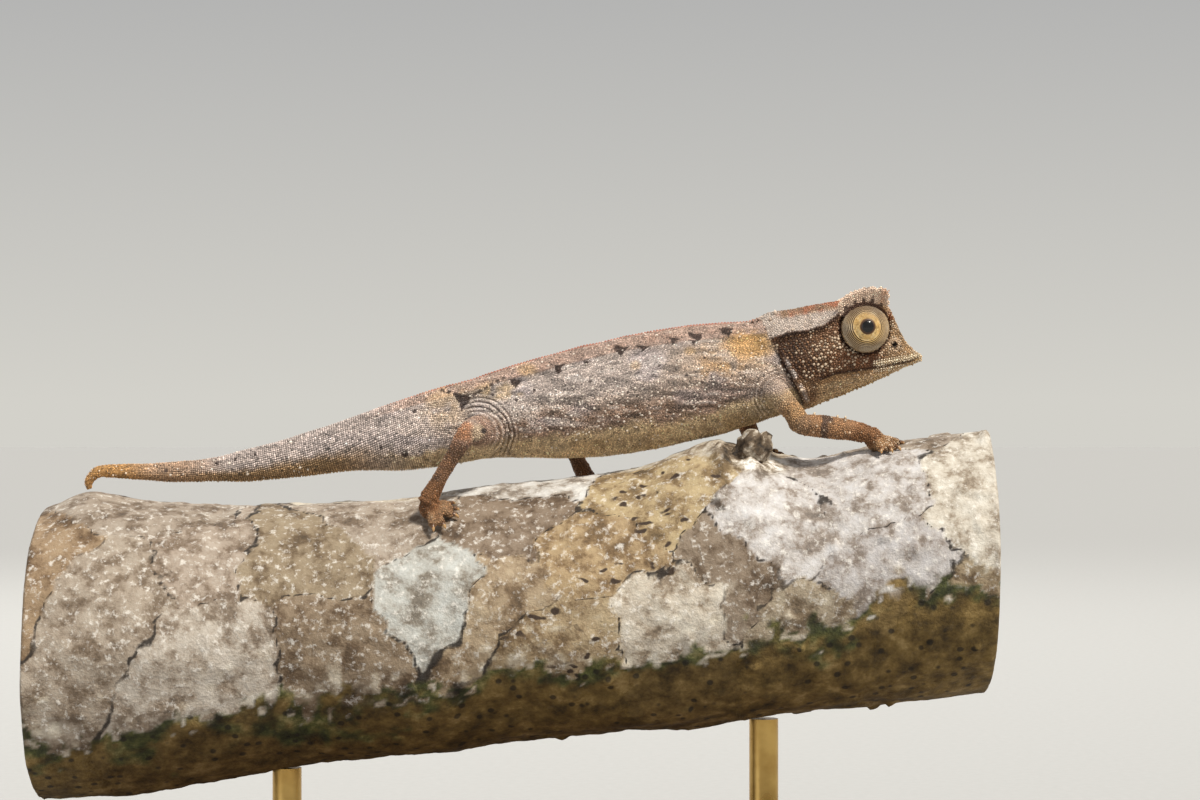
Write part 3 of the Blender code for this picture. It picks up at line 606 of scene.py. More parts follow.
def foot_tubes(name):
    """The heel and toes of a foot as paths, and where each claw starts: root, direction and up."""
    turn, out_toes, in_toes, heading, reach = STANCES[name]
    heading = math.radians(heading)
    ankle = np.array(LIMBS[name][-1][:3])
    x = ankle[0] + reach * math.cos(heading)
    ground = perch_surface(x, turn)
    up = np.array((0.0, -math.sin(turn), math.cos(turn)))
    ahead = np.array((math.cos(heading), -math.sin(heading) * math.cos(turn), 0.0))
    ahead = unit(ahead - up * (ahead @ up))
    across = np.cross(up, ahead)
    palm = ground + up * 0.85
    paths = [[(*ankle, 0.92), (*((ankle + palm) / 2), 0.90), (*palm, 0.85)]]
    claws = []
    for bundle, count in ((1, out_toes), (-1, in_toes)):
        for k in range(count):
            angle = bundle * TOE_SPREAD + (k - (count - 1) / 2) * TOE_GAP
            way = ahead * math.cos(angle) + across * math.sin(angle)
            long = 1.75 if count == 2 else 1.65
            root = palm + way * 0.35
            knuckle = root + way * (0.55 * long) + up * 0.05
            pad = root + way * long - up * 0.22
            paths.append(
                [(*root, 1.25 * TOE_RADIUS), (*knuckle, 1.12 * TOE_RADIUS), (*pad, 0.9 * TOE_RADIUS)]
            )
            claws.append((pad, way, up))
    return paths, palm, claws


stations = through(SPINE, 6)
slopes = np.arctan2(*np.gradient(stations[:, :2], axis=0).T[::-1])
ring_turn = np.linspace(0, 2 * math.pi, 48, endpoint=False)
forms = [np.array([trunk_ring(s, slope, ring_turn) for s, slope in zip(stations, slopes)]), skull_rows()]
limb_paths, claw_roots, palms = {}, {}, {}
for name, rows in LIMBS.items():
    limb_paths[name] = through(rows, 4)
    forms.append(tube_rows(limb_paths[name], 24))
    paths, palms[name], claw_roots[name] = foot_tubes(name)
    forms += [tube_rows(through(path, 3), 14) for path in paths]
bm = bmesh.new()
for number, rows in enumerate(forms):
    bm.from_mesh(grid_mesh(f"form_{number}", rows))
balls = [(claw[0], 0.9 * TOE_RADIUS) for roots in claw_roots.values() for claw in roots]
balls += [(palm, 1.0) for palm in palms.values()]
for rows in LIMBS.values():
    balls += [(np.array(rows[3][:3]), rows[3][3] * 1.02), (np.array(rows[0][:3]), rows[0][3])]
for centre, radius in balls:
    place = Matrix.Translation(centre) @ Matrix.Scale(radius, 4)
    bmesh.ops.create_uvsphere(bm, u_segments=16, v_segments=10, radius=1.0, matrix=place)
bmesh.ops.recalc_face_normals(bm, faces=bm.faces)
mesh = bpy.data.meshes.new("forms")
bm.to_mesh(mesh)
bm.free()


def remeshed(mesh, voxel, rounds):
    """One closed skin of small quads round overlapping forms, softened."""
    holder = bpy.data.objects.new("holder", mesh)
    bpy.context.scene.collection.objects.link(holder)
    wrap = holder.modifiers.new("wrap", "REMESH")
    wrap.mode, wrap.voxel_size = "VOXEL", voxel
    soften = holder.modifiers.new("soften", "SMOOTH")
    soften.factor, soften.iterations = 0.5, rounds
    made = bpy.data.meshes.new_from_object(holder.evaluated_get(bpy.context.evaluated_depsgraph_get()))
    bpy.data.objects.remove(holder)
    return made


def points_of(mesh):
    found = np.empty(len(mesh.vertices) * 3, np.float32)
    mesh.vertices.foreach_get("co", found)
    return found.reshape(-1, 3).astype(float)


def normals_of(mesh):
    found = np.empty(len(mesh.vertices) * 3, np.float32)
    mesh.vertex_normals.foreach_get("vector", found)
    return found.reshape(-1, 3).astype(float)


def line_distance(x, z, points):
    """Distance in side view to a bent line, which side of it a point is on, and how far along."""
    points = np.asarray(points, float)
    spot = np.column_stack([x, z])
    nearest, sign, place = np.full(len(spot), 1e9), np.zeros(len(spot)), np.zeros(len(spot))
    for number, (start, end) in enumerate(zip(points, points[1:])):
        way = end - start
        t = np.clip((spot - start) @ way / (way @ way), 0, 1)
        gap = spot - start - t[:, None] * way
        far = np.linalg.norm(gap, axis=1)
        closer = far < nearest
        nearest[closer] = far[closer]
        sign[closer] = np.sign(way[0] * gap[closer, 1] - way[1] * gap[closer, 0])
        place[closer] = (number + t[closer]) / (len(points) - 1)
    return nearest, sign, place


def signed_distance(x, z, points):
    """Distance in side view to a bent line, more than 0 on the left of the way it runs."""
    far, side_of, _ = line_distance(x, z, points)
    return far * side_of


def limb_place(points):
    """Distance outside each limb's own form and how far along it, 0 at the trunk and 1 at the ankle."""
    found = {}
    for name, path in limb_paths.items():
        near, part = np.full(len(points), 1e9), np.zeros(len(points))
        for number, row in enumerate(path):
            far = np.linalg.norm(points - row[:3], axis=1) - row[3]
            closer = far < near
            near[closer], part[closer] = far[closer], number / (len(path) - 1)
        found[name] = (near, part)
    return found


def off_limbs(points):
    """Distance outside the nearest limb."""
    return np.min([near for near, _ in limb_place(points).values()], axis=0)


def off_palms(points):
    """Distance from the middle of the nearest foot."""
    return np.min([np.linalg.norm(points - spot, axis=1) for spot in palms.values()], axis=0)


# Lines on the side of the head and neck, as x and z, from back to front
MOUTH = ((29.4, 49.3), (30.6, 49.80), (33.1, 50.17), (35.5, 50.55), (37.6, 50.92), (39.1, 51.35))
CREST = (
    (25.1, 53.30), (26.5, 53.75), (28.0, 53.90), (29.7, 54.45), (30.4, 55.05), (31.6, 55.90), (32.5, 56.55)
)
NAPE = ((23.4, 55.8), (24.6, 52.6), (27.3, 47.8), (28.0, 46.2))
JAW_EDGE = ((26.0, 46.3), (28.3, 46.6), (31.9, 48.0), (35.4, 49.5), (37.6, 50.45), (39.2, 51.15))
NOSTRIL = (36.45, 52.62)
HIPS = {-1: (-3.5, 44.1), 1: (-1.2, 44.9)}
SHOULDERS = {-1: (25.4, 47.7), 1: (23.0, 48.7)}
BACK_BAND = 1.55  # depth of the pale band below the ridge of the back
back, under_side = (
    np.array([trunk_ring(s, slope, np.full(1, turn))[0] for s, slope in zip(stations, slopes)])
    for turn in (0.0, math.pi)
)
TAIL_HOOK = 18  # how many stations belong to the bent tip of the tail, where x isn't a place along it
back_line, belly_line = back[TAIL_HOOK:], under_side[TAIL_HOOK:]


def body_depth(points):
    """How far a point lies below the ridge of the back, and its height from -1, belly, to 1, back."""
    top = np.interp(points[:, 0], back_line[:, 0], back_line[:, 2])
    bottom = np.interp(points[:, 0], belly_line[:, 0], belly_line[:, 2])
    return top - points[:, 2], (2 * points[:, 2] - top - bottom) / (top - bottom)


def swing_folds(points):
    """Folds round hips and shoulders, where the hide gathers as a limb swings: wave and strength."""
    x, y, z = points.T
    total, strength = np.zeros(len(points)), np.zeros(len(points))
    for side in (-1, 1):
        for (at_x, at_z), inner, outer, pitch, start, end, high in (
            (HIPS[side], 1.35, 4.3, 0.45, -38, 112, 1.0),
            (SHOULDERS[side], 1.5, 3.4, 0.42, 75, 235, 0.75),
        ):
            away = np.hypot(x - at_x, z - at_z)
            bearing = np.degrees(np.arctan2(z - at_z, x - at_x)) % 360
            bearing = np.where(bearing > 300, bearing - 360, bearing)
            within = ease(inner - 0.2, inner + 0.2, away) * ease(outer, outer - 1.3, away) * high
            sector = ease(start - 25, start + 15, bearing) * ease(end + 25, end - 15, bearing)
            within *= sector * (y * side > 0.3)
            wander = away + 0.12 * lumps(points, 1.1, 23)
            total = np.where(within > strength, np.sin(wander * 2 * math.pi / pitch), total)
            strength = np.maximum(strength, within)
    return total, strength


def folds(points):
    """How far the hide stands out at each point: creases, folds, ridges and pits, in millimetres."""
    x, y, z = points.T
    flat = np.abs(y)
    depth, _ = body_depth(points)
    rise = 0.05 * lumps(points, 2.2, 21) + 0.02 * lumps(points, 0.8, 22)
    off_leg = ease(0.1, 0.7, off_limbs(points))
    rise += 0.035 * lumps(points * (0.22, 1, 1.0), 0.42, 27) * ease(-9, -4, x) * ease(24, 21, x)
    # the ridge along the edge of the back, slightly knobbed, and the shallow furrow below it
    line = depth - BACK_BAND * np.interp(x, (-14, 2, 22), (0.55, 0.9, 1.0))
    along = ease(-13, -6, x) * ease(25.5, 23.5, x) * off_leg
    knobs = 0.75 + 0.25 * np.sin(x * 2 * math.pi / 1.35)
    rise += along * (
        0.17 * knobs * np.exp(-((line / 0.22) ** 2)) - 0.12 * np.exp(-(((line - 0.55) / 0.35) ** 2))
    )
    wave, within = swing_folds(points)
    rise += wave * within * off_leg * (0.075 + 0.03 * lumps(points, 1.0, 28))
    # the crease across the side of the neck, with a raised fold in front of its lower half
    far, side_of, part = line_distance(x, z, NAPE[1:3])
    ahead = far * -side_of
    reach = ease(0.02, 0.12, part) * ease(1.0, 0.9, part) * (flat > 1.2) * off_leg
    rise -= reach * 0.30 * np.exp(-((ahead / 0.20) ** 2))
    rise += reach * ease(0.35, 0.6, part) * 0.24 * np.exp(-(((ahead + 0.45) / 0.22) ** 2))
    # the mouth, closed: one fine groove from the snout to below the back of the eye
    far, side_of, part = line_distance(x, z, MOUTH)
    rise -= 0.16 * np.exp(-((far / 0.13) ** 2)) * ease(0.0, 0.06, part) * (x < 39.3)
    rise += 0.06 * np.exp(-(((far * side_of - 0.35) / 0.22) ** 2)) * ease(0.15, 0.4, part)
    # the crest from the nape to the brow, and the nostril in its small raised ring
    far, side_of, part = line_distance(x, z, CREST)
    rise += (flat > 1.5) * (
        0.16 * np.exp(-((far / 0.24) ** 2)) - 0.10 * np.exp(-(((far * side_of + 0.5) / 0.25) ** 2))
    )
    away = np.hypot(x - NOSTRIL[0], z - NOSTRIL[1])
    rise += (flat > 0.5) * (
        0.10 * np.exp(-(((away - 0.36) / 0.14) ** 2)) - 0.34 * np.exp(-((away / 0.19) ** 2))
    )
    # the rim of the eye socket, with a moat between it and the turret
    away = np.hypot((x - EYE_CENTRE[0]) / 2.32, (z - EYE_CENTRE[2]) / 2.36) * 2.34
    rise += (flat > 1.6) * (0.10 * np.exp(-(((away - 2.95) / 0.22) ** 2)) - 0.38 * ease(2.78, 2.40, away))
    # loose folds along the throat
    throat = ease(50.0, 48.6, z) * ease(26.0, 27.5, x) * ease(38.5, 36.5, x)
    rise += throat * 0.05 * np.sin(np.arctan2(flat, 50.5 - z) * 16 + 0.8 * lumps(points, 1.8, 24))
    # wrinkles round elbows, knees and ankles
    for name, (near, part) in limb_place(points).items():
        ring = part * len(LIMBS[name]) * 1.9
        on = ease(0.35, 0.1, near)
        wrinkled = ease(0.85, 0.95, part) + ease(0.16, 0.04, np.abs(part - 0.5)) * 0.7
        wave = np.sin(ring * 2 * math.pi / 0.40 + 1.3 * lumps(points, 0.9, 25))
        rise += on * np.clip(wrinkled, 0, 1) * 0.06 * wave
        rise += on * 0.05 * lumps(points, 0.7, 26) * ease(0.2, 0.4, part)
    return rise


def coat_depth(points):
    """How deep the scales stand over the hide: thick on the trunk, thin on toes, face and tail tip."""
    depth = np.interp(points[:, 0], (-41, -30, -12, 24, 30, 39), (0.05, 0.07, 0.10, 0.10, 0.08, 0.06))
    depth = depth + (0.08 - depth) * ease(0.5, 0.1, off_limbs(points))
    return depth + (0.05 - depth) * ease(3.2, 2.2, off_palms(points))


skin_mesh = remeshed(mesh, SKIN_VOXEL, 3)
points, normals = points_of(skin_mesh), normals_of(skin_mesh)
points += normals * (folds(points) - coat_depth(points))[:, None]
skin_mesh.vertices.foreach_set("co", points.ravel())
skin_mesh.update()

# Dark marks of the back, partly pigment and partly painted shadow cast down by the small points
# along its edge: x, height of the top edge, width and height; they point down
MARKS_AND_SHADOWS = (
    (4.30, 50.70, 1.50, 0.95), (6.95, 51.10, 0.95, 0.65), (10.25, 52.50, 1.75, 1.10),
    (12.35, 52.60, 1.70, 0.60), (15.45, 53.15, 1.15, 0.70), (17.50, 53.75, 1.65, 0.95),
    (17.10, 53.05, 0.80, 0.75), (20.40, 54.25, 1.60, 1.25), (24.75, 54.75, 1.30, 1.40),
    (0.20, 49.35, 1.35, 1.15), (-4.95, 47.85, 2.00, 1.80),
)
# Dark spots of the flank and tail: x, z and radius
SPOTS = (
    (-9.6, 46.25, 0.20), (-10.5, 42.1, 0.33), (-12.8, 42.8, 0.18), (0.2, 47.3, 0.17), (1.9, 48.2, 0.15),
    (-25.0, 42.05, 0.16), (-26.9, 41.6, 0.15), (-28.7, 41.2, 0.17), (-33.6, 40.5, 0.15), (18.2, 51.3, 0.13),
    (16.5, 49.7, 0.13), (18.0, 49.0, 0.12), (20.8, 49.6, 0.13), (10.8, 48.0, 0.12), (7.25, 49.1, 0.15),
    (29.1, 55.2, 0.20), (28.3, 55.9, 0.14), (27.4, 56.0, 0.14), (-2.1, 47.8, 0.14), (13.9, 50.6, 0.12),
)
HIP_ARMS = ((-7.1, 48.25), (-5.4, 47.75), (-4.2, 47.60), (-2.7, 48.5), (-1.1, 49.4))


def paint(tone, *coats):
    """Lays colours over a tone, one after another. Each is a hex code and its share at each point."""
    for code, share in coats:
        tone = tone + (linear(code) - tone) * np.clip(share, 0, 1)[:, None]
    return tone


def oval(x, z, at_x, at_z, wide, high, soft=0.35):
    return ease(1 + soft, 1 - soft, np.hypot((x - at_x) / wide, (z - at_z) / high))


def hide_tone(points):
    """The colour of the hide and its scales at each point, linear, with painted shade and highlights on its
    folds, wrinkles and creases, and painted shadows round the eye, under the crest and in the marks of the
    back.
    """
    x, y, z = points.T
    flat = np.abs(y)
    depth, level = body_depth(points)
    cloud, fine = lumps(points, 2.4, 31), lumps(points, 0.7, 32)
    tone = np.tile(linear("#BFB1A9"), (len(points), 1))
    tone = paint(tone, ("#C2A88C", 0.52 * ease(9, 21, x) * ease(-0.7, 0.3, level)))
    # the lower flank is brown, with a ragged upper edge, and the belly is tan
    edge = level + 0.10 * cloud + 0.07 * fine
    tone = paint(
        tone,
        ("#B49C8A", 0.58 * ease(0.24, -0.14, edge) * ease(-9, -3, x)),
        ("#8C6F5A", 0.80 * ease(0.00, -0.26, edge) * ease(-7, 0, x) * ease(25, 20, x)),
        ("#D0B892", 0.95 * ease(-0.44, -0.64, edge)),
        (
            "#7D6348",
            0.45 * ease(-0.50, -0.64, level) * ease(0.1, 0.5, lumps(points * (2.5, 1, 0.7), 0.8, 39)),
        ),
        ("#C9A878", 0.5 * ease(-0.60, -0.75, level) * ease(0.2, 0.6, lumps(points, 3.5, 34))),
        ("#B5ABAE", 0.5 * ease(0.1, 0.5, lumps(points * (0.5, 1, 1), 1.6, 33)) * ease(-0.5, -0.2, level)),
    )
    # painted shade in the grooves of the long wavy wrinkles on the flank, and a painted highlight on their
    # crests
    streak = lumps(points * (0.22, 1, 1.0), 0.42, 27) + 0.4 * lumps(points * (0.3, 1, 1), 0.25, 35)
    painted_wrinkle_shading = ease(-9, -4, x) * ease(25, 22, x) * ease(-0.6, -0.4, level)
    tone = tone * (1 - 0.48 * painted_wrinkle_shading * ease(0.1, -0.5, streak))[:, None]
    tone = paint(tone, ("#DCD2CC", 0.42 * painted_wrinkle_shading * ease(0.2, 0.7, streak)))
    # tail: grey above, tan below, and all tan to ochre towards its tip
    tail = ease(-8, -14, x)
    tone = paint(
        tone,
        ("#AFA29C", 0.8 * tail),
        ("#6F635B", 0.30 * tail * ease(0.0, 0.6, cloud)),
        ("#9A7C55", 0.9 * ease(-10, -18, x) * ease(0.0, -0.55, level + 0.12 * fine)),
        ("#AC8C6F", 0.8 * ease(-27, -33, x)),
        ("#B68A52", 0.9 * ease(-34, -38.5, x)),
    )
    # back: a warm grey band, and a fine red-orange line along its ridge
    band = BACK_BAND * np.interp(x, (-14, 2, 22), (0.55, 0.9, 1.0))
    on_back = ease(0.12, -0.12, depth - band) * ease(-16, -9, x)
    tone = paint(
        tone,
        ("#AE9485", 0.85 * on_back),
        ("#8E6F60", 0.35 * on_back * ease(0.1, 0.6, fine)),
        (
            "#5B4438",
            0.55 * np.exp(-(((depth - band) / 0.13) ** 2)) * ease(-8, -4, x) * ease(0.2, 0.5, fine + 0.6),
        ),
    )
    ridge = ease(0.36, 0.12, depth) * ease(0.55, 0.2, flat) * ease(-14, -7, x) * ease(24.5, 21, x)
    tone = paint(tone, ("#9C5F48", 0.70 * ridge))
    # ochre over the shoulders and hips, broken by grey
    tone = paint(
        tone,
        ("#C49C62", 0.88 * oval(x, z, 22.6, 52.6, 2.2, 1.2, 0.5) * ease(-0.9, 0.1, fine)),
        ("#C9A272", 0.55 * oval(x, z, 20.8, 51.5, 3.2, 1.4, 0.6) * ease(-0.5, 0.5, fine + cloud)),
        ("#BF9A6C", 0.50 * oval(x, z, 18.6, 50.2, 2.4, 0.8, 0.6) * ease(-0.5, 0.5, fine)),
        ("#CDB183", 0.60 * oval(x, z, -1.4, 48.2, 2.1, 0.8, 0.6) * ease(-0.7, 0.3, fine)),
        ("#C2A67E", 0.50 * oval(x, z, -6.6, 46.8, 2.2, 2.0, 0.6) * ease(-0.6, 0.4, fine)),
        ("#C6A679", 0.50 * oval(x, z, 1.2, 50.2, 0.9, 0.6, 0.5)),
        ("#BFA27A", 0.55 * oval(x, z, 11.6, 50.6, 0.5, 0.45, 0.5)),
        ("#BFA27A", 0.50 * oval(x, z, 16.8, 52.0, 0.5, 0.4, 0.5)),
    )
    # the folds at hips and shoulders: painted shade in the grooves and a painted highlight on the crests
    # between them
    wave, within = swing_folds(points)
    tone = paint(
        tone,
        ("#4A362A", (0.50 + 0.25 * cloud) * within * ease(-0.15, -0.75, wave)),
        ("#D6CBC4", 0.35 * within * ease(0.1, 0.8, wave)),
    )
    # pointed marks along the back, partly pigment and partly painted shadow below the points of its
    # edge, lighter in the middle, with the spots and the fork at the hips
    ragged_x = x + 0.26 * lumps(points, 0.8, 36) + 0.16 * lumps(points, 0.35, 37)
    ragged_z = z + 0.20 * lumps(points, 0.7, 38)
    for at, top, wide, high in MARKS_AND_SHADOWS:
        wide, high = wide * 0.92, high * 0.92
        fall = (top - ragged_z) / high
        inside = np.minimum(
            wide / 2 * (1 - fall) - np.abs(ragged_x - at), np.minimum(fall, 1 - fall) * high
        )
        tone = paint(tone, ("#33211A", 0.92 * ease(-0.05, 0.08, inside)))
        upper = ease(0.16, 0.26, inside) * ease(0.60, 0.30, fall) * (at > 15 and high > 1.2)
        tone = paint(tone, ("#6A4C3A", 0.75 * upper))
    for at_x, at_z, size in SPOTS:
        tone = paint(tone, ("#3A2B28", 0.9 * ease(1.25, 0.85, np.hypot(x - at_x, z - at_z) / size)))
    far, _, part = line_distance(x, z, HIP_ARMS)
    tone = paint(
        tone, ("#3A2921", 0.85 * ease(0.24, 0.10, far + 0.06 * fine) * ease(-0.5, -0.1, np.sin(part * 70)))
    )

    # head: dark cheeks under a pale temple, reddish crown, tan snout, jaw and throat
    head = np.tile(linear("#7A563D"), (len(points), 1))
    head = paint(
        head,
        ("#432818", 0.7 * oval(x, z, 26.2, 51.6, 1.6, 2.2, 0.5)),
        ("#7C5C40", 0.6 * oval(x, z, 30.4, 52.2, 2.4, 1.6, 0.6)),
        ("#A08260", 0.82 * ease(34.6, 36.0, x)),
        ("#AA8A64", 0.7 * ease(36.6, 38.0, x)),
        ("#7A5034", 0.7 * oval(x, z, 32.6, 51.3, 2.4, 0.8, 0.5)),
    )
    rows = np.sin((x * 0.82 + z * 0.57 + 0.05 * cloud) * 2 * math.pi / 0.40)
    rear = oval(x, z, 27.4, 50.9, 2.6, 2.6, 0.5)
    head = paint(
        head,
        ("#2A160C", 0.80 * rear * ease(-0.1, 0.7, rows)),
        ("#9A7552", 0.40 * rear * ease(-0.5, -0.95, rows)),
    )
    above = signed_distance(x, z, CREST)
    over_eye = ease(31.9, 32.6, x)
    temple = ease(-0.05, 0.18, above) * (1 - over_eye)
    head = paint(head, ("#BEB0A5", temple), ("#A8968A", 0.5 * temple * ease(0.0, 0.5, fine)))
    crown = np.interp(x, [row[0] for row in SKULL], [row[1] for row in SKULL]) - z
    reddish = ease(1.15, 0.55, crown + 0.18 * cloud) * ease(25.0, 26.0, x) * (1 - over_eye)
    # the last coat here is a painted shadow: a thin dark line just under the crest
    head = paint(
        head,
        ("#94694B", 0.88 * reddish),
        ("#A05A38", 0.6 * reddish * ease(-0.1, 0.4, fine + 0.5 * cloud)),
        ("#A88C6C", 0.5 * reddish * ease(0.1, 0.5, -fine)),
        ("#A68264", 0.8 * over_eye * ease(0.9, 0.4, crown) * ease(35.8, 34.8, x)),
        ("#2F1D14", 0.85 * np.exp(-(((above + 0.16) / 0.16) ** 2)) * ease(24.9, 25.6, x)),
    )
    mouth_far, mouth_side, _ = line_distance(x, z, MOUTH)
    below = -mouth_far * mouth_side
    jaw = ease(-0.02, 0.10, below) * ease(28.6, 29.6, x)
    head = paint(
        head,
        ("#BC966C", 0.95 * jaw),
        ("#D4B78F", 0.85 * jaw * ease(0.4, 0.8, below + 0.1 * fine)),
    )
    head = paint(
        head,
        ("#D6B788", 0.9 * ease(0.6, -0.1, signed_distance(x, z, JAW_EDGE)) * ease(27.0, 28.5, x)),
        ("#B89571", 0.65 * ease(49.6, 48.6, z) * ease(29.8, 28.0, x)),
        ("#3B2115", 0.85 * ease(0.16, 0.06, mouth_far) * ease(38.9, 38.2, x)),
    )
    lip = np.exp(-(((below + 0.34) / 0.16) ** 2)) * ease(34.2, 34.8, x)
    head = paint(head, ("#D8C19C", 0.85 * lip))
    ring = np.hypot(x - EYE_CENTRE[0], z - EYE_CENTRE[2])
    # painted shade in the moat round the eye turret, and a red-brown painted shadow under the front of the
    # brow plate
    head = paint(
        head,
        ("#3F2314", 0.9 * ease(2.66, 2.50, ring) * (flat > 1.5)),
        ("#8A4A28", 0.8 * ease(3.2, 2.8, ring) * ease(34.4, 35.2, x) * ease(54.4, 55.4, z) * (flat > 1.5)),
    )
    nose = np.hypot(x - NOSTRIL[0], z - NOSTRIL[1])
    head = paint(
        head,
        ("#C0A488", 0.7 * ease(0.22, 0.10, np.abs(nose - 0.55)) * (flat > 0.5)),
        ("#1C100B", 0.97 * ease(0.36, 0.24, nose) * (flat > 0.5)),
    )
    far, side_of, part = line_distance(x, z, NAPE)
    ahead = far * side_of
    loose = ease(0.62, 0.42, part)
    tone = tone + (head - tone) * ease(-0.12, 0.12, ahead + loose * (0.30 * fine + 0.25 * cloud))[:, None]
    # painted shade in the crease across the neck, and a painted highlight on the raised fold in front of it
    neck_crease_shade = np.exp(-((far / 0.20) ** 2)) * ease(0.36, 0.50, part) * (flat > 1.2)
    tone = paint(tone, ("#2C1A11", 0.9 * neck_crease_shade))
    neck_fold_highlight = np.exp(-(((ahead - 0.48) / 0.17) ** 2)) * ease(0.42, 0.5, part) * ease(0.86, 0.78, part)
    tone = paint(tone, ("#DDD2CC", 0.85 * neck_fold_highlight * (flat > 1.2) * ease(-0.5, 0.0, fine)))

    # legs: brown, paler on the thighs, with a dark band on the forearm and ochre knees
    for name, (near, part) in limb_place(points).items():
        on = ease(0.55, 0.12, near) * ease(0.10, 0.30, part)
        hind = name.startswith("hind")
        leg = np.tile(linear("#9A7D6C" if hind else "#98785A"), (len(points), 1))
        if hind:
            leg = paint(leg, ("#B8A496", 0.8 * oval(part, part, 0.42, 0.42, 0.12, 0.12, 0.4)))
            knee = np.array(LIMBS[name][3][:3])
            leg = paint(
                leg,
                ("#B0764A", 0.75 * ease(1.5, 0.8, np.linalg.norm(points - knee - (-0.2, 0, 0.3), axis=1))),
                ("#CDB79C", 0.80 * ease(1.2, 0.6, np.linalg.norm(points - knee - (1.3, 0, 0.2), axis=1))),
                ("#2A2226", 0.90 * ease(0.34, 0.18, np.hypot(x - knee[0] - 1.7, z - knee[2] - 0.5))),
                ("#7A5638", 0.88 * ease(0.52, 0.62, part)),
                ("#4E3828", 0.6 * ease(0.52, 0.62, part) * ease(-0.1, 0.4, cloud + fine)),
                ("#6F4A30", 0.7 * ease(0.82, 0.92, part)),
            )
        else:
            leg = paint(
                leg,
                ("#B89062", 0.6 * ease(0.14, 0.05, np.abs(part - 0.36))),
                ("#A67850", 0.6 * ease(0.50, 0.62, part)),
                ("#4A3A34", 0.80 * ease(0.9, 0.4, np.abs(x - LIMBS[name][4][0] - 0.3 + 0.5 * fine) * 2)),
                ("#A67856", 0.6 * ease(0.78, 0.9, part)),
            )
        leg = paint(leg, ("#4B3728", 0.4 * ease(0.1, 0.7, fine)))
        tone = tone + (leg - tone) * on[:, None]
    palm = off_palms(points)
    foot = ease(3.3, 2.4, palm) * ease(1.2, 0.6, points[:, 2] - 46)
    tone = paint(
        tone,
        ("#865C38", 0.80 * foot),
        ("#5C3A22", 0.5 * foot * ease(0.0, 0.6, fine + 0.5 * cloud)),
    )
    return tone * (1.12 + 0.11 * cloud + 0.13 * fine)[:, None]


# painted shade: the hide between the scales keeps only this share of their colour, as shade in the gaps
GAP_SHADE = 0.62  # how light the hide between the scales is, beside them

# Dry hide between the scales: matt, darker than they are as painted shade in the gaps, with fine
# creases 0.1 mm apart that are painted darker as shade
hide, tree = new_material("dry hide", Roughness=0.8, Specular_IOR_Level=0.3)
place = add(tree, "TexCoord", out="Object")
tone = add(tree, "Attribute", attribute_name="tone")
creases = add(tree, "TexVoronoi", Vector=place, Scale=9000.0, feature="DISTANCE_TO_EDGE")
# painted shade: each fine crease darkens the hide's colour
painted_crease_shade = add(tree, "MapRange", Value=creases, From_Max=0.12, To_Min=0.55, To_Max=1.0)
dark = add(tree, "CombineColor", Red=painted_crease_shade, Green=painted_crease_shade, Blue=painted_crease_shade)
add(tree, "Mix", 1.0, tone, dark, blend_type="MULTIPLY", feeds="Base Color")
add(tree, "Bump", Height=creases, Strength=0.5, Distance=0.00004, feeds="Normal")

# the hide's colour is darkened as painted shade in the gaps between the scales
put_tone(skin_mesh, hide_tone(points) * GAP_SHADE)
skin_tree = BVHTree.FromPolygons(points.tolist(), [tuple(f.vertices) for f in skin_mesh.polygons])
skin_mesh.transform(Matrix.Scale(MM, 4))
skin = piece_from(skin_mesh, "skin", hide)
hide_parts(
    *("head", "jaw", "neck", "trunk", "tail_base", "tail_middle", "tail_tip"),
    *(
        f"{limb}_{part}"
        for limb in ("front_right", "front_left")
        for part in ("upper_arm", "forearm", "foot")
    ),
    *(f"{limb}_{part}" for limb in ("hind_right", "hind_left") for part in ("thigh", "shank", "foot")),
)

# ------------------------------------------------------------------------------ brow plates
# A thin plate of bone stands out over each eye like the peak of a cap. It is covered with the
# same dry hide, its edge is notched into blunt teeth, and it shades the turret below it.

BROW = (  # x, half width and height of its foot, half width and height of its edge, thickness
    (30.90, 3.15, 55.30, 3.50, 56.70, 0.9), (31.80, 3.25, 55.40, 3.90, 57.45, 0.9),
    (33.10, 3.20, 55.60, 4.35, 58.15, 0.9), (34.40, 3.00, 55.60, 4.60, 58.25, 0.8),
    (35.30, 2.75, 55.40, 4.65, 58.15, 0.7), (35.85, 2.45, 55.00, 4.50, 57.85, 0.6),
)
BROW_REACH = 1.8  # how far a plate's foot reaches in towards the middle of the crown
TOOTH = 0.62  # from tooth to tooth along the edge, on average


def facing_out(mesh):
    """Turns a mesh's faces so that all of them look outwards."""
    bm = bmesh.new()
    bm.from_mesh(mesh)
    bmesh.ops.recalc_face_normals(bm, faces=bm.faces)
    bm.to_mesh(mesh)
    bm.free()


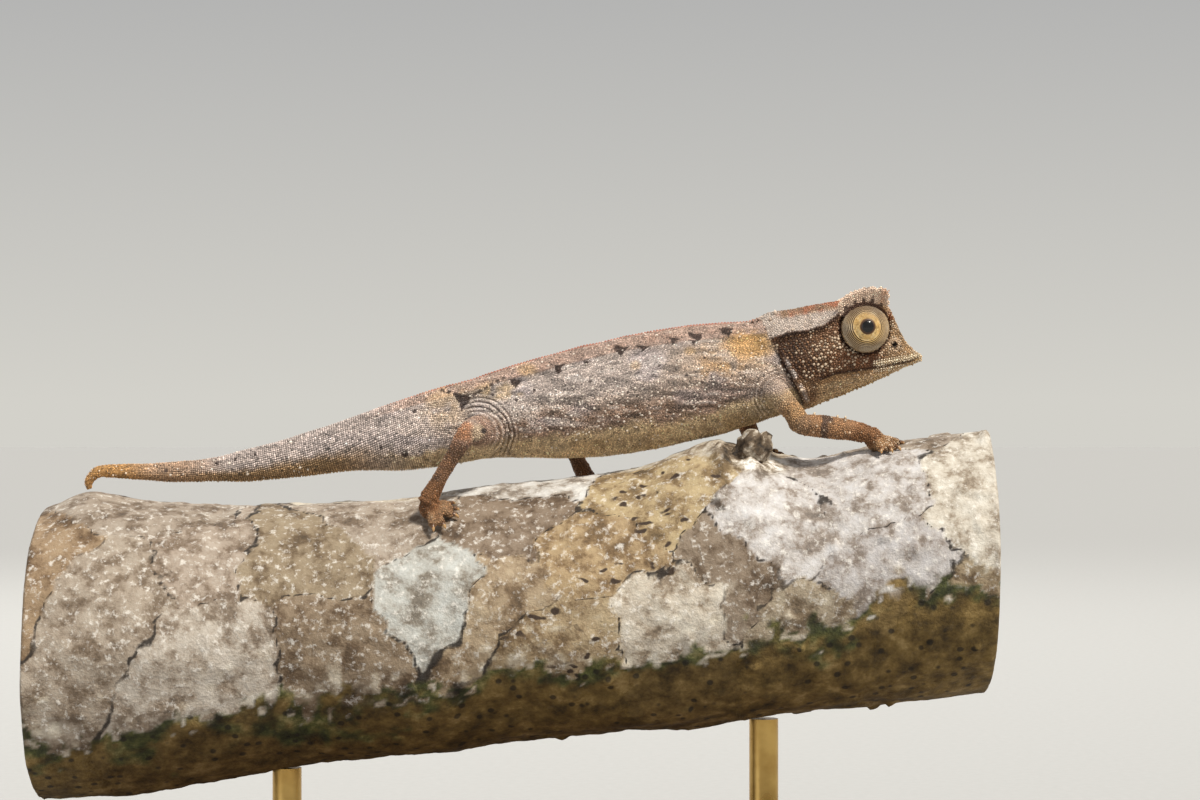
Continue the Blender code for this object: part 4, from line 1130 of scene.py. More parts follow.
def brow_tone(points):
    """Pale pinkish brown on the plate, ochre and spotted low in front, dark red-brown beneath as painted
    shadow over the turret.
    """
    x, _, z = points.T
    height = z - np.interp(x, [row[0] for row in BROW], [row[2] for row in BROW])
    fine = lumps(points, 0.45, 43)
    tone = np.tile(linear("#DBC0AA"), (len(points), 1))
    tone = paint(
        tone,
        ("#E0C6B2", 0.6 * ease(1.6, 2.4, height)),
        ("#A9764E", 0.6 * ease(34.6, 35.4, x) * ease(0.1, 0.6, fine + 0.3)),
        ("#C89E68", 0.6 * ease(34.3, 35.2, x) * ease(1.5, 0.6, height)),
    )
    ring = np.hypot(x - EYE_CENTRE[0], z - EYE_CENTRE[2])
    # a dark red-brown painted shadow low on the plate where it hangs over the turret, then dark spots and a
    # broken dark line
    tone = paint(
        tone,
        ("#43200F", 0.92 * ease(2.62, 2.48, ring + 0.05 * np.sin(x * 9))),
        ("#3C241B", 0.9 * ease(0.45, 0.6, lumps(points, 0.6, 44)) * ease(33.0, 34.0, x)),
        ("#3C241B", 0.9 * ease(0.2, 0.1, np.abs(ring - 2.70)) * ease(0.3, 0.7, np.sin(x * 7.4))),
    )
    return tone * (1.30 + 0.15 * fine)[:, None]


brow_surfaces = []
for side, word in ((-1, "right"), (1, "left")):
    rows = []
    for x, foot_y, foot_z, edge_y, edge_z, thick in through(BROW, 6):
        foot, edge = np.array((foot_y, foot_z)), np.array((edge_y, edge_z))
        rise = unit(edge - foot)
        across = np.array((-rise[1], rise[0])) * thick / 2
        tip = edge - rise * thick / 4
        section = [foot - across, foot - (BROW_REACH, 0), tip + across * 0.7, edge, tip - across * 0.7]
        rows.append([(x, side * y, z) for y, z in section])
    form = grid_mesh("brow_form", np.array(rows))
    facing_out(form)
    plate = remeshed(form, 0.085, 3)
    points, normals = points_of(plate), normals_of(plate)
    x, _, z = points.T
    edge_z = np.interp(x, [row[0] for row in BROW], [row[4] for row in BROW])
    # the teeth along the edge, 0.5 to 1 mm apart and largest in front
    saw = (x - 30.6 + 0.12 * side) / TOOTH + 0.35 * np.sin(x * 2.3)
    tooth = 1 - 2 * np.abs(saw % 1 - 0.5)
    notch = 0.14 + 0.16 * ease(33.0, 35.5, x) + 0.10 * lumps(points, 0.9, 47)
    points[:, 2] -= notch * (1 - tooth) * ease(0.95, 0.05, edge_z - z) + 0.05
    points += normals * (0.05 * lumps(points, 0.7, 41) - 0.07)[:, None]
    points[:, 1] += side * 0.10 * lumps(points, 1.1, 42) * ease(1.2, 0.0, edge_z - z)
    ahead = ease(35.0, 35.7, x)
    points[:, 0] += 0.10 * ahead * (np.sin(z * 2 * math.pi / TOOTH) - 1)
    plate.vertices.foreach_set("co", points.ravel())
    plate.update()
    brow_surfaces.append((points.copy(), normals_of(plate), [tuple(f.vertices) for f in plate.polygons]))
    plate.name = f"brow_plate_{word}"
    # the plate's hide between its scales is darkened as painted shade in the gaps
    put_tone(plate, brow_tone(points) * 0.6)
    plate.transform(Matrix.Scale(MM, 4))
    brow = piece_from(plate, f"brow_plate_{word}", hide)
    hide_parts(f"brow_{word}")

# ------------------------------------------------------------------------------ eyes
# The lids are grown together into a cone-like turret with a round opening in the middle. Fine
# rings of skin run round it, and the dark, wet eyeball shows in the opening behind a brown rim.

EYE_RADIUS, OPENING = 2.27, 0.47
EYE_FLAT = np.array((2.32, 2.25, 2.36)) / 2.30
TURRET_ROWS, TURRET_SIDES = 170, 150
RING_GAP = 0.205  # from one ring of skin to the next, along the turret
BEAD_ROW, BEAD_GAP = 0.095, 0.115  # from row to row of the beads round the opening, and in a row

# Eyelid skin: satin, each ring of it a pale thread with a groove beside it that is painted dark as shade
lid_skin, tree = new_material("eyelid skin", Roughness=0.5, Specular_IOR_Level=0.45)
place = add(tree, "TexCoord", out="Object")
tone = add(tree, "Attribute", attribute_name="tone")
grain = add(tree, "TexNoise", Vector=place, Scale=14000.0, Detail=2.0)
grain_tone = add(tree, "ValToRGB", grain, stops=[(0.35, "#B4A694"), (0.6, "#FFFFFF")])
add(tree, "Mix", 0.6, tone, grain_tone, blend_type="MULTIPLY", feeds="Base Color")
add(tree, "Bump", Height=grain, Strength=0.3, Distance=0.00002, feeds="Normal")

# The eyeball: black-brown under a clear wet cornea, so it mirrors the lamps sharply
wet_eye, tree = new_material(
    "wet eye", Roughness=0.22, Specular_IOR_Level=0.35, Coat_Weight=0.35, Coat_Roughness=0.06
)
place = add(tree, "TexCoord", out="Object")
depths = add(tree, "TexNoise", Vector=place, Scale=3000.0, Detail=1.0)
add(tree, "ValToRGB", depths, stops=[(0.3, "#050404"), (0.7, "#120D0B")], feeds="Base Color")

turret_bases = []
for side, word in ((-1, "right"), (1, "left")):
    centre = EYE_CENTRE * (1, side, 1)
    gaze = unit(np.array((0.06, side, 0.06)))
    ahead = unit(np.cross(np.cross(gaze, (1.0, 0, 0)), gaze))
    above = np.cross(ahead, gaze) * -side
    start = math.asin(OPENING / EYE_RADIUS)
    lean = np.concatenate([np.linspace(start, 1.62, TURRET_ROWS - 20), np.linspace(1.65, 2.5, 20)])
    lean, turn = np.meshgrid(lean, np.linspace(0, 2 * math.pi, TURRET_SIDES, endpoint=False), indexing="ij")
    direction = (
        np.cos(lean)[..., None] * gaze
        + (np.sin(lean) * np.cos(turn))[..., None] * ahead
        + (np.sin(lean) * np.sin(turn))[..., None] * above
    )
    spots = direction.reshape(-1, 3) * EYE_RADIUS
    arc = (lean.ravel() - start) * EYE_RADIUS + 0.05 * lumps(spots, 1.6, 51) + 0.02 * lumps(spots, 0.5, 52)
    around = turn.ravel()
    # a soft rim round the opening, then beads in rows, then rings of skin
    rim = np.exp(-(((arc - 0.13) / 0.13) ** 2))
    beaded = ease(0.26, 0.34, arc) * ease(1.02, 0.86, arc)
    row = np.floor(arc / BEAD_ROW)
    count = np.round(2 * math.pi * (OPENING + (row + 0.5) * BEAD_ROW) / BEAD_GAP)
    bead = np.abs(np.sin(math.pi * arc / BEAD_ROW)) * np.abs(np.sin(around * count / 2 + row * 1.9))
    ringed = ease(0.80, 1.0, arc)
    ring_at = arc + 0.07 * np.sin(around + 0.6) * ringed
    ring = np.abs(np.sin(math.pi * ring_at / RING_GAP)) ** 0.9
    ringed = ringed * ease(1.60, 1.30, lean.ravel())
    crimp = 0.5 + 0.5 * np.sin(around * 58 + 2.0 * np.floor(ring_at / RING_GAP) + 2 * lumps(spots, 0.6, 53))
    height = 0.06 * rim + 0.06 * bead * beaded + ringed * (0.11 * ring + 0.025 * crimp * ring) - 0.09
    hem = ease(1.3, 1.5, lean.ravel())
    height += 0.03 * lumps(spots, 1.1, 54) * ringed + 0.05 * (1 - ringed) * hem * crimp
    points = centre + direction.reshape(-1, 3) * (EYE_RADIUS + height)[:, None] * EYE_FLAT
    rows = points.reshape(TURRET_ROWS, TURRET_SIDES, 3)
    # the lid turns inwards at the opening, so that it has an edge with thickness
    inner = [
        centre + (rows[0] - centre) * scale + gaze * drop
        for scale, drop in ((0.90, 0.155), (0.94, 0.115), (0.975, 0.062))
    ]
    rows = np.concatenate([np.array(inner), rows])
    turret = grid_mesh(f"eye_turret_{word}", rows)
    facing_out(turret)
    # painted shade: the grooves between beads and rings are painted dark where the crests are low
    painted_crest_light = np.clip(np.maximum(bead * beaded, ring * ringed), 0, 1)
    tone = np.tile(linear("#E6BB70"), (len(arc), 1))
    cloud = lumps(spots, 0.9, 55)
    # a painted highlight on one side of the turret
    painted_highlight = ease(-0.3, 0.9, np.sin(around * side * -1 + 0.2))
    tone = paint(tone, ("#EDD59A", beaded * (0.25 + 0.6 * painted_highlight) * ease(-0.2, 0.6, cloud + 0.3)))
    speck = lumps(spots, 0.16, 56)
    # the last coat here is painted shade low on the turret
    tone = paint(
        tone,
        ("#7A5A34", 0.55 * beaded * ease(0.1, 0.6, speck)),
        ("#F2E2B8", 0.45 * beaded * ease(-0.1, -0.6, speck)),
        ("#8A6A42", 0.5 * beaded * ease(0.2, -0.8, np.sin(around)) * ease(-0.4, 0.4, cloud)),
    )
    edge = arc + 0.14 * np.sin(around + 2.4) + 0.05 * cloud
    # painted light among these coats: a painted highlight on one side of the rings, painted shade low on
    # the turret and painted shade in the grooves
    tone = paint(
        tone,
        ("#C6AB84", 0.95 * ease(0.80, 1.15, edge)),
        ("#B29976", 0.8 * ease(1.4, 1.9, arc)),
        ("#DCCBB0", 0.55 * ease(0.0, 0.6, cloud) * ringed),
        ("#D8B470", 0.55 * painted_highlight * ringed * ease(1.7, 1.1, arc)),
        ("#5E4229", 0.6 * ease(-0.2, -0.9, np.sin(around)) * ease(0.9, 1.5, arc)),
        ("#2B180B", 0.97 * ease(0.92, 0.45, painted_crest_light) * np.maximum(beaded * 0.35, ringed)),
        ("#4A2B18", 0.95 * ease(0.36, 0.26, arc)),
        ("#2A160C", 0.9 * ease(0.24, 0.10, arc)),
    )
    tone = np.clip(tone * (1 + 0.22 * beaded)[:, None], 0, 1)
    tone = np.concatenate([np.tile(linear("#1A0E09"), (3 * TURRET_SIDES, 1)), tone])
    put_tone(turret, tone)
    turret.transform(Matrix.Scale(MM, 4))
    base = np.flatnonzero(lean.ravel() > 1.30) + 3 * TURRET_SIDES
    base_quads = [tuple(face.vertices) for face in turret.polygons if min(face.vertices) >= base[0]]
    turret_bases.append((points_of(turret) / MM, normals_of(turret), base_quads))
    lid = piece_from(turret, f"eye_turret_{word}", lid_skin)
    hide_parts(f"eye_{word}")

    dome = []
    bulge = [(0.60 * math.sin(a), 0.20 * (1 - math.cos(a))) for a in np.linspace(0.06, 1.5, 18)]
    for spread, drop in [*bulge, (0.60, 0.35)]:
        circle = np.linspace(0, 2 * math.pi, 64, endpoint=False)[:, None]
        middle = centre + gaze * (EYE_RADIUS - 0.04 - drop)
        dome.append(middle + spread * (np.cos(circle) * ahead + np.sin(circle) * above))
    ball_mesh = grid_mesh(f"eyeball_{word}", np.array(dome) * MM)
    facing_out(ball_mesh)
    piece_from(ball_mesh, f"eyeball_{word}", wet_eye)

# ------------------------------------------------------------------------------ claws
# Each of the twenty toes ends in a small curved claw of horn, dark at its root and translucent
# amber at the point, that grows out of the last scales of the toe and presses into the bark.

# Horn: smooth and a little waxy, brown with a paler tip
horn, tree = new_material("claw horn", Roughness=0.32, Subsurface_Weight=0.1, Subsurface_Scale=0.0002)
tip_share = add(tree, "Attribute", attribute_name="tip", out="Fac")
place = add(tree, "TexCoord", out="Object")
streak = add(tree, "TexNoise", Vector=place, Scale=6000.0, Detail=3.0)
shaded = add(tree, "Math", tip_share, streak, operation="ADD")
add(
    tree, "ValToRGB", shaded,
    stops=[(0.40, "#3A2415"), (0.85, "#6E4C2E"), (1.3, "#B08C60")], feeds="Base Color",
)

CLAW_STEPS, CLAW_SIDES = 9, 12
for name, roots in claw_roots.items():
    bm = bmesh.new()
    for pad, way, up in roots:
        t = np.linspace(0, 1, CLAW_STEPS)
        path = pad + way * (0.18 + 0.60 * np.sin(t * 1.35))[:, None] + up * (0.06 - 0.36 * t**1.8)[:, None]
        radius = 0.20 * (1 - t) ** 0.6 + 0.025
        bm.from_mesh(grid_mesh("claw", tube_rows(np.column_stack([path, radius]), CLAW_SIDES) * MM))
    bmesh.ops.recalc_face_normals(bm, faces=bm.faces)
    claw_mesh = bpy.data.meshes.new(f"claws_{name}")
    bm.to_mesh(claw_mesh)
    bm.free()
    claws = piece_from(claw_mesh, f"claws_{name}", horn)
    share = np.tile(np.repeat(np.linspace(0, 0.9, CLAW_STEPS), CLAW_SIDES), len(roots))
    claw_mesh.attributes.new("tip", "FLOAT", "POINT").data.foreach_set("value", share.astype(np.float32))

# ------------------------------------------------------------------------------ scales
# The hide is set with about 65,000 small horny scales: low beads in rows along trunk and tail,
# larger tubercles scattered on cheeks, legs and flanks, and points on the nape, jaw and forearm.

OUTSIDE = 9.0  # how far from the middle plane a ray to the skin starts
TAIL_ROOT = -9  # behind it the rings are even, and none is shifted
rng = np.random.default_rng(20)
roots, ups, rears, halves, heights, tones, in_ring = [], [], [], [], [], [], []


def on_surface(tree, spots, reach):
    """The nearest place on a surface and its normal for each spot, and whether it is within reach."""
    place, normal, kept = np.zeros_like(spots), np.zeros_like(spots), np.zeros(len(spots), bool)
    for number, spot in enumerate(spots):
        found = tree.find_nearest(spot, reach)
        if found[0] is not None:
            place[number], normal[number], kept[number] = found[0], found[1], True
    return place, normal, kept


def lay(place, normal, rear, half_length, half_width, height, tone, ringed=False):
    """Adds scales: rear is the way they point, tone their colour, sizes in millimetres."""
    normal = unit(normal + rng.normal(0, 0.09, normal.shape))
    rear = rear - normal * np.sum(rear * normal, axis=1)[:, None]
    count = len(place)
    roots.append(place)
    ups.append(normal)
    rears.append(unit(rear))
    halves.append(
        np.column_stack([np.broadcast_to(half_length, count), np.broadcast_to(half_width, count)])
    )
    heights.append(np.broadcast_to(height, count).astype(float))
    tones.append(tone)
    in_ring.append(np.full(count, ringed))


def varied(tone, amount):
    return tone * np.exp(rng.normal(0, amount, len(tone)))[:, None]


def line_up(points, pitch):
    """Points at even spacing along a bent line, and the way it runs at each."""
    points = np.asarray(points, float)
    run = np.concatenate([[0], np.cumsum(np.linalg.norm(np.diff(points, axis=0), axis=1))])
    at = np.arange(pitch / 2, run[-1], pitch)
    found = np.column_stack([np.interp(at, run, column) for column in points.T])
    return found, unit(np.gradient(found, axis=0))


def row_on_skin(line, side, pitch, size, high, code, share=0.9, jitter=0.03, long=1.0):
    """A row of scales on the skin below a line of (x, z), on one side of the animal."""
    spots, way = line_up(line, pitch)
    spots = np.column_stack([spots[:, 0], np.full(len(spots), OUTSIDE * side), spots[:, 1]])
    hits = [skin_tree.ray_cast(Vector(spot), Vector((0, -side, 0))) for spot in spots]
    kept = [number for number, hit in enumerate(hits) if hit[0] is not None]
    place = np.array([hits[number][0] for number in kept])
    place = place + rng.normal(0, jitter, place.shape) * (1, 0, 1)
    normal = np.array([hits[number][1] for number in kept])
    rear = np.column_stack([-way[kept, 0], np.zeros(len(kept)), -way[kept, 1]])
    tone = paint(hide_tone(place), (code, np.full(len(place), share)))
    scale = rng.uniform(0.70, 1.25, len(kept))
    lay(place, normal, rear, size * long * scale, size * scale, high * scale, varied(tone, 0.22))


# rows with a place of their own: lips, mouth, crest, jaw edge, back ridge, under the tail
mouth = through(MOUTH, 6)
for side in (-1, 1):
    lips = mouth[mouth[:, 0] > 34.2]
    for rise in (0.20, 0.42, 0.64, -0.20, -0.40):
        share = 0.90 if abs(rise) < 0.5 else 0.65
        row_on_skin(lips + (0.0, rise), side, 0.25, 0.095, 0.08, "#F0E2C8", share, 0.015, 1.2)
    behind = mouth[mouth[:, 0] < 34.0]
    row_on_skin(behind + (0.0, 0.20), side, 0.26, 0.11, 0.07, "#7A5638", 0.6, 0.02)
    row_on_skin(behind - (0.0, 0.20), side, 0.26, 0.11, 0.07, "#8C6B48", 0.6, 0.02)
    row_on_skin(through(CREST, 5), side, 0.27, 0.135, 0.14, "#4A3021", 0.80, 0.05)
    row_on_skin(through(CREST, 5) - (0.05, 0.36), side, 0.42, 0.12, 0.12, "#8A6A4C", 0.6, 0.05)
    row_on_skin(JAW_EDGE, side, 0.42, 0.11, 0.17, "#C4A880", 0.7, 0.04)
for line, low, high_x, pitch, size, high, code, share in (
    (back, -36.0, 23.2, 0.30, 0.13, 0.15, "#B4593A", 0.55),
    (under_side, -39.0, -11.0, 0.33, 0.14, 0.17, "#CDB389", 0.75),
):
    part = line[(line[:, 0] > low) & (line[:, 0] < high_x)]
    spots, way = line_up(part, pitch)
    place, normal, kept = on_surface(skin_tree, spots, 0.8)
    shares = share * ease(-16, -8, place[:, 0]) if line is back else np.full(len(place), share)
    fade = paint(hide_tone(place), (code, shares))
    size = size * np.interp(place[:, 0], (-40, -30, -20), (0.6, 0.8, 1.0))
    lay(place, normal, -way, size * 1.15, size * 0.8, high * size / 0.13, varied(fade, 0.14))

# single points: on the nape, along the jaw, on the forearm and at the corner of the crest
POINTS = (  # x, z, radius, height, colour
    (25.10, 55.55, 0.20, 0.50, "#D8C4B2"), (24.60, 54.95, 0.17, 0.42, "#CBB7A6"),
    (22.90, 55.05, 0.15, 0.34, "#5A4236"), (23.50, 54.90, 0.15, 0.34, "#6B5245"),
    (35.95, 49.85, 0.14, 0.30, "#C9AE84"), (34.45, 49.15, 0.14, 0.32, "#C9AE84"),
    (33.00, 48.55, 0.13, 0.26, "#BFA37A"), (31.55, 47.95, 0.13, 0.26, "#BFA37A"),
    (30.10, 47.35, 0.13, 0.24, "#B5986F"), (28.70, 46.80, 0.13, 0.24, "#B5986F"),
    (37.20, 50.30, 0.12, 0.22, "#C9AE84"), (26.60, 53.95, 0.17, 0.25, "#CDB9A5"),
)
for side in (-1, 1):
    for x, z, size, high, code in POINTS:
        hit = skin_tree.ray_cast(Vector((x, OUTSIDE * side, z)), Vector((0, -side, 0)))
        if hit[0] is None:
            hit = skin_tree.find_nearest(Vector((x, 0.8 * side, z)))
        spot, normal = np.array([hit[0]]), unit(np.array([hit[1]]) + (0, 0, 0.3 if z > 52 else -0.4))
        tone = linear(code)[None] * rng.uniform(0.9, 1.1)
        lay(spot, normal, np.array([(-1.0, 0, 0)]), size, size, high, tone)
for x, y, z in (
    (30.9, -4.6, 46.4), (31.7, -4.4, 46.3), (28.6, -5.4, 46.3), (22.0, 7.7, 46.6), (22.4, 7.5, 45.4)
):
    hit = skin_tree.find_nearest(Vector((x, y, z)))
    tone = linear("#D5BFA2")[None]
    lay(np.array([hit[0]]), np.array([hit[1]]), np.array([(-1.0, 0, 0)]), 0.15, 0.15, 0.32, tone)

# rings of beads round trunk, neck and tail, every second ring shifted by half a bead
fine_stations = through(SPINE, 40)
run = np.concatenate([[0], np.cumsum(np.linalg.norm(np.diff(fine_stations[:, :2], axis=0), axis=1))])
run_slope = np.unwrap(np.arctan2(*np.gradient(fine_stations[:, :2], axis=0).T[::-1]))
ring_spots, ring_along, ring_pitch, at, ring_number = [], [], [], 0.12, 0
while at < run[-1]:
    station = np.array([np.interp(at, run, column) for column in fine_stations.T])
    slope = np.interp(at, run, run_slope)
    x = station[0]
    pitch = np.interp(x, (-41, -38, -32, -20, -11, -4, 30), (0.13, 0.15, 0.19, 0.235, 0.22, 0.157, 0.157))
    turn = np.linspace(0, 2 * math.pi, 120)
    ring = trunk_ring(station, slope, turn)
    length = np.concatenate([[0], np.cumsum(np.linalg.norm(np.diff(ring, axis=0), axis=1))])
    count = max(int(length[-1] / (pitch * 0.98)), 8)
    shifted = 0.5 * (ring_number % 2) if x > TAIL_ROOT else 0.0
    spread = (np.arange(count) + shifted) / count
    uneven = lumps(np.column_stack([np.full(count, at), spread * 40, spread]), 1.4, 61)
    spread = spread + 0.22 / count * uneven
    at_turn = np.interp((spread % 1) * length[-1], length, turn)
    loose = float(ease(-12, -4, x))
    at_turn = at_turn + rng.normal(0, 0.10 * loose * pitch / max(station[2], 0.3), count)
    spots = trunk_ring(station, slope, at_turn)
    wave = pitch * (0.10 + 0.30 * loose) * lumps(spots, 1.3, 62)
    wave = wave + rng.normal(0, 0.11 * loose * pitch, count)
    way = np.array((math.cos(slope), 0, math.sin(slope)))
    ring_spots.append(spots + way * wave[:, None])
    ring_along.append(np.tile(-way, (count, 1)))
    ring_pitch.append(np.full(count, pitch))
    at += pitch * (0.95 if x < TAIL_ROOT else 0.90)
    ring_number += 1
spots, rear, pitch = np.concatenate(ring_spots), np.concatenate(ring_along), np.concatenate(ring_pitch)
free = (signed_distance(spots[:, 0], spots[:, 2], NAPE) < 0.05) & (off_limbs(spots) > 0.12)
spots, rear, pitch = spots[free], rear[free], pitch[free]
place, normal, kept = on_surface(skin_tree, spots, 0.60)
place, normal, rear, pitch = place[kept], normal[kept], rear[kept], pitch[kept]
tone = hide_tone(place)
_, level = body_depth(place)
chance = rng.random(len(place))
band = ease(0.35, -0.05, level) * ease(-0.62, -0.48, level) * ease(-8, -2, place[:, 0])
pale = chance < 0.012 + 0.050 * band
dusky = chance > 0.965 - 0.05 * band
size = pitch * 0.57 * rng.uniform(0.80, 1.12, len(place))
high = pitch * 0.44 * rng.uniform(0.55, 1.35, len(place)) * np.where(level < -0.85, 1.5, 1.0)
swell = rng.uniform(1.1, 1.6, len(place))
size, high = np.where(pale, size * swell, size), np.where(pale, high * swell * 1.15, high)
tone = varied(tone, 0.28) * (1 + 0.26 * lumps(place * (0.45, 1, 1), 0.45, 63))[:, None]
tone = paint(tone, ("#EFE4D6", np.where(pale, (swell - 0.8) * 0.95, 0)))
tone = np.where(dusky[:, None], tone * 0.35, tone)
long = np.where(level < -0.7, 0.85, 1.10)
lay(place, normal, rear, size * long, size, high, tone, True)

# everywhere else each scale takes the first free place it finds, the largest ones first
FREE_CELL = 0.40  # no scale is wider, so only neighbouring cells have to be looked at
taken = {}


def cell_of(spot):
    return tuple(int(value // FREE_CELL) for value in spot)


def claim(spot, radius, gap=0.90):
    """Takes a place on the hide for a scale if no other stands too near."""
    cx, cy, cz = cell_of(spot)
    for i in (cx - 1, cx, cx + 1):
        for j in (cy - 1, cy, cy + 1):
            for k in (cz - 1, cz, cz + 1):
                for x, y, z, r in taken.get((i, j, k), ()):
                    reach = (r + radius) * gap
                    if (x - spot[0]) ** 2 + (y - spot[1]) ** 2 + (z - spot[2]) ** 2 < reach * reach:
                        return False
    taken.setdefault((cx, cy, cz), []).append((spot[0], spot[1], spot[2], radius))
    return True


for side in (-1, 1):
    hit = skin_tree.ray_cast(Vector((NOSTRIL[0], 5.0 * side, NOSTRIL[1])), Vector((0, -side, 0)))
    taken[cell_of(hit[0])] = [(*hit[0], 0.22)]
for place, half in zip(np.concatenate(roots).tolist(), np.concatenate(halves)[:, 1].tolist()):
    taken.setdefault(cell_of(place), []).append((*place, half))


def scatter(points, normals, quads, radius_of, tries, covered=None):
    """Tries places all over a surface and keeps those that are free, the widest scales first."""
    quads = np.array([quad for quad in quads if len(quad) == 4])
    if covered is not None:
        quads = quads[~covered[quads[:, 0]]]
    pick = np.repeat(np.arange(len(quads)), tries)
    s, t = rng.random((2, len(pick), 1))
    weights = ((1 - s) * (1 - t), s * (1 - t), s * t, (1 - s) * t)
    spots = sum(weight * points[quads[pick, corner]] for corner, weight in enumerate(weights))
    normal = unit(sum(weight * normals[quads[pick, corner]] for corner, weight in enumerate(weights)))
    radius = radius_of(spots)
    order = np.argsort(-radius + rng.normal(0, 0.006, len(radius)))
    chosen = [
        n for n, spot, r in zip(order, spots[order].tolist(), radius[order].tolist()) if claim(spot, r)
    ]
    return spots[chosen], normal[chosen], radius[chosen]


def scale_radius(spots):
    """Half width of a scale by its place: tubercles are rare and wide, faces and feet have fine ones."""
    x, _, z = spots.T
    head = ease(-0.1, 0.1, signed_distance(x, z, NAPE))
    temple = head * ease(0, 0.2, signed_distance(x, z, CREST))
    leg = ease(0.45, 0.15, off_limbs(spots))
    base = 0.100 - 0.014 * leg - 0.018 * temple
    base = np.where(off_palms(spots) < 3.2, 0.080, base)
    base = np.where((x > 35.5) & (head > 0.5), 0.085, base)
    chance = rng.random(len(spots))
    cheek = head * (1 - temple) * (z > 49.6) * (0.25 + 1.6 * oval(x, z, 30.8, 51.7, 2.4, 2.1, 0.5))
    share = 0.0008 + 0.0065 * cheek + 0.0008 * leg
    radius = base * np.exp(rng.normal(0, 0.10, len(spots)))
    return np.where(chance < share, base * rng.uniform(1.25, 1.75, len(spots)), radius)


skin_points, skin_normals = points_of(skin_mesh) / MM, normals_of(skin_mesh)
quads = [tuple(face.vertices) for face in skin_mesh.polygons]
behind = signed_distance(skin_points[:, 0], skin_points[:, 2], NAPE) < -0.3
covered = behind & (off_limbs(skin_points) > 0.6) & (off_palms(skin_points) > 4)
place, normal, radius = scatter(skin_points, skin_normals, quads, scale_radius, 9, covered)
tone = hide_tone(place)
rear = np.tile((-1.0, 0.0, -0.25), (len(place), 1))
for name, (near, part) in limb_place(place).items():
    path = limb_paths[name][:, :3]
    way = unit(np.gradient(path, axis=0))[np.clip((part * (len(path) - 1)).astype(int), 0, len(path) - 1)]
    rear = np.where((near < 0.4)[:, None], way, rear)
x, y, z = place.T
head = ease(-0.1, 0.1, signed_distance(x, z, NAPE))
chance = rng.random(len(place))
cheek = head * oval(x, z, 30.8, 51.7, 2.6, 2.2, 0.5) * (np.abs(y) > 1.5)
pale = (chance < 0.03 + 0.35 * head * ease(34.0, 35.8, x) + 0.22 * cheek) * rng.uniform(0.3, 1, len(place))
wide = ease(0.120, 0.165, radius) * rng.uniform(0.5, 1, len(place))
tone = varied(tone, 0.22)
tone = paint(tone, ("#E2CDB2", np.maximum(pale, wide) * np.where(head > 0.5, 0.85, 0.42)))
tone = np.where((chance > 0.93)[:, None], tone * 0.48, tone)
high = radius * (0.72 + 0.40 * wide) * rng.uniform(0.7, 1.3, len(place))
lay(place, normal, rear, radius * 1.12, radius * 1.04, high, tone)
for points, normals, quads in brow_surfaces:
    place, normal, radius = scatter(
        points, normals, quads, lambda spots: rng.uniform(0.065, 0.095, len(spots)), 6
    )
    tone = varied(brow_tone(place), 0.15)
    lay(place, normal, np.tile((-1.0, 0, -0.3), (len(place), 1)), radius * 1.1, radius, radius * 0.80, tone)
for points, normals, quads in turret_bases:
    place, normal, radius = scatter(
        points, normals, quads, lambda spots: rng.uniform(0.070, 0.100, len(spots)), 3
    )
    tone = varied(np.tile(linear("#9C8260"), (len(place), 1)), 0.25)
    lay(place, normal, np.tile((-1.0, 0, -0.3), (len(place), 1)), radius * 1.1, radius, radius * 0.75, tone)

place, normal, rear = np.concatenate(roots), np.concatenate(ups), np.concatenate(rears)
half, high, tone = np.concatenate(halves), np.concatenate(heights), np.concatenate(tones)
across = np.cross(normal, rear)

# Each scale is a low dome, its crown set back towards the tail and its foot sunk in the hide
CROWN = ((1.0, -0.35, 0.0), (0.74, 0.60, 0.10), (0.0, 1.0, 0.22))  # width, height, shift to the rear
# painted shade at the foot of each scale and a painted highlight on its crown
DOME_SHADING = (0.55, 0.96, 1.10)  # darker at the foot, lighter on the crown
MAP_CELL = 0.0032


def dome_of(sides):
    """Points, faces, painted shading and flat map of one scale: rings of so many points, and a crown."""
    spin = np.arange(sides) * 2 * math.pi / sides
    circle = np.column_stack([np.cos(spin), np.sin(spin)])
    rings = [np.column_stack([circle * w + (shift, 0), np.full(sides, h)]) for w, h, shift in CROWN[:2]]
    spots = np.concatenate([*rings, [(CROWN[2][2], 0, CROWN[2][1])]])
    after = [(i + 1) % sides for i in range(sides)]
    faces = [(i, after[i], sides + after[i], sides + i) for i in range(sides)]
    faces += [(sides + i, sides + after[i], 2 * sides) for i in range(sides)]
    flat = np.concatenate([circle * 0.00125, circle * 0.0008, [(0, 0)]])
    laid = [flat[list(face)] for face in faces] + [circle[::-1] * 0.00028 + 0.00118]
    faces.append(tuple(range(sides))[::-1])
    return spots, faces, np.repeat(DOME_SHADING, (sides, sides, 1)), np.concatenate(laid)


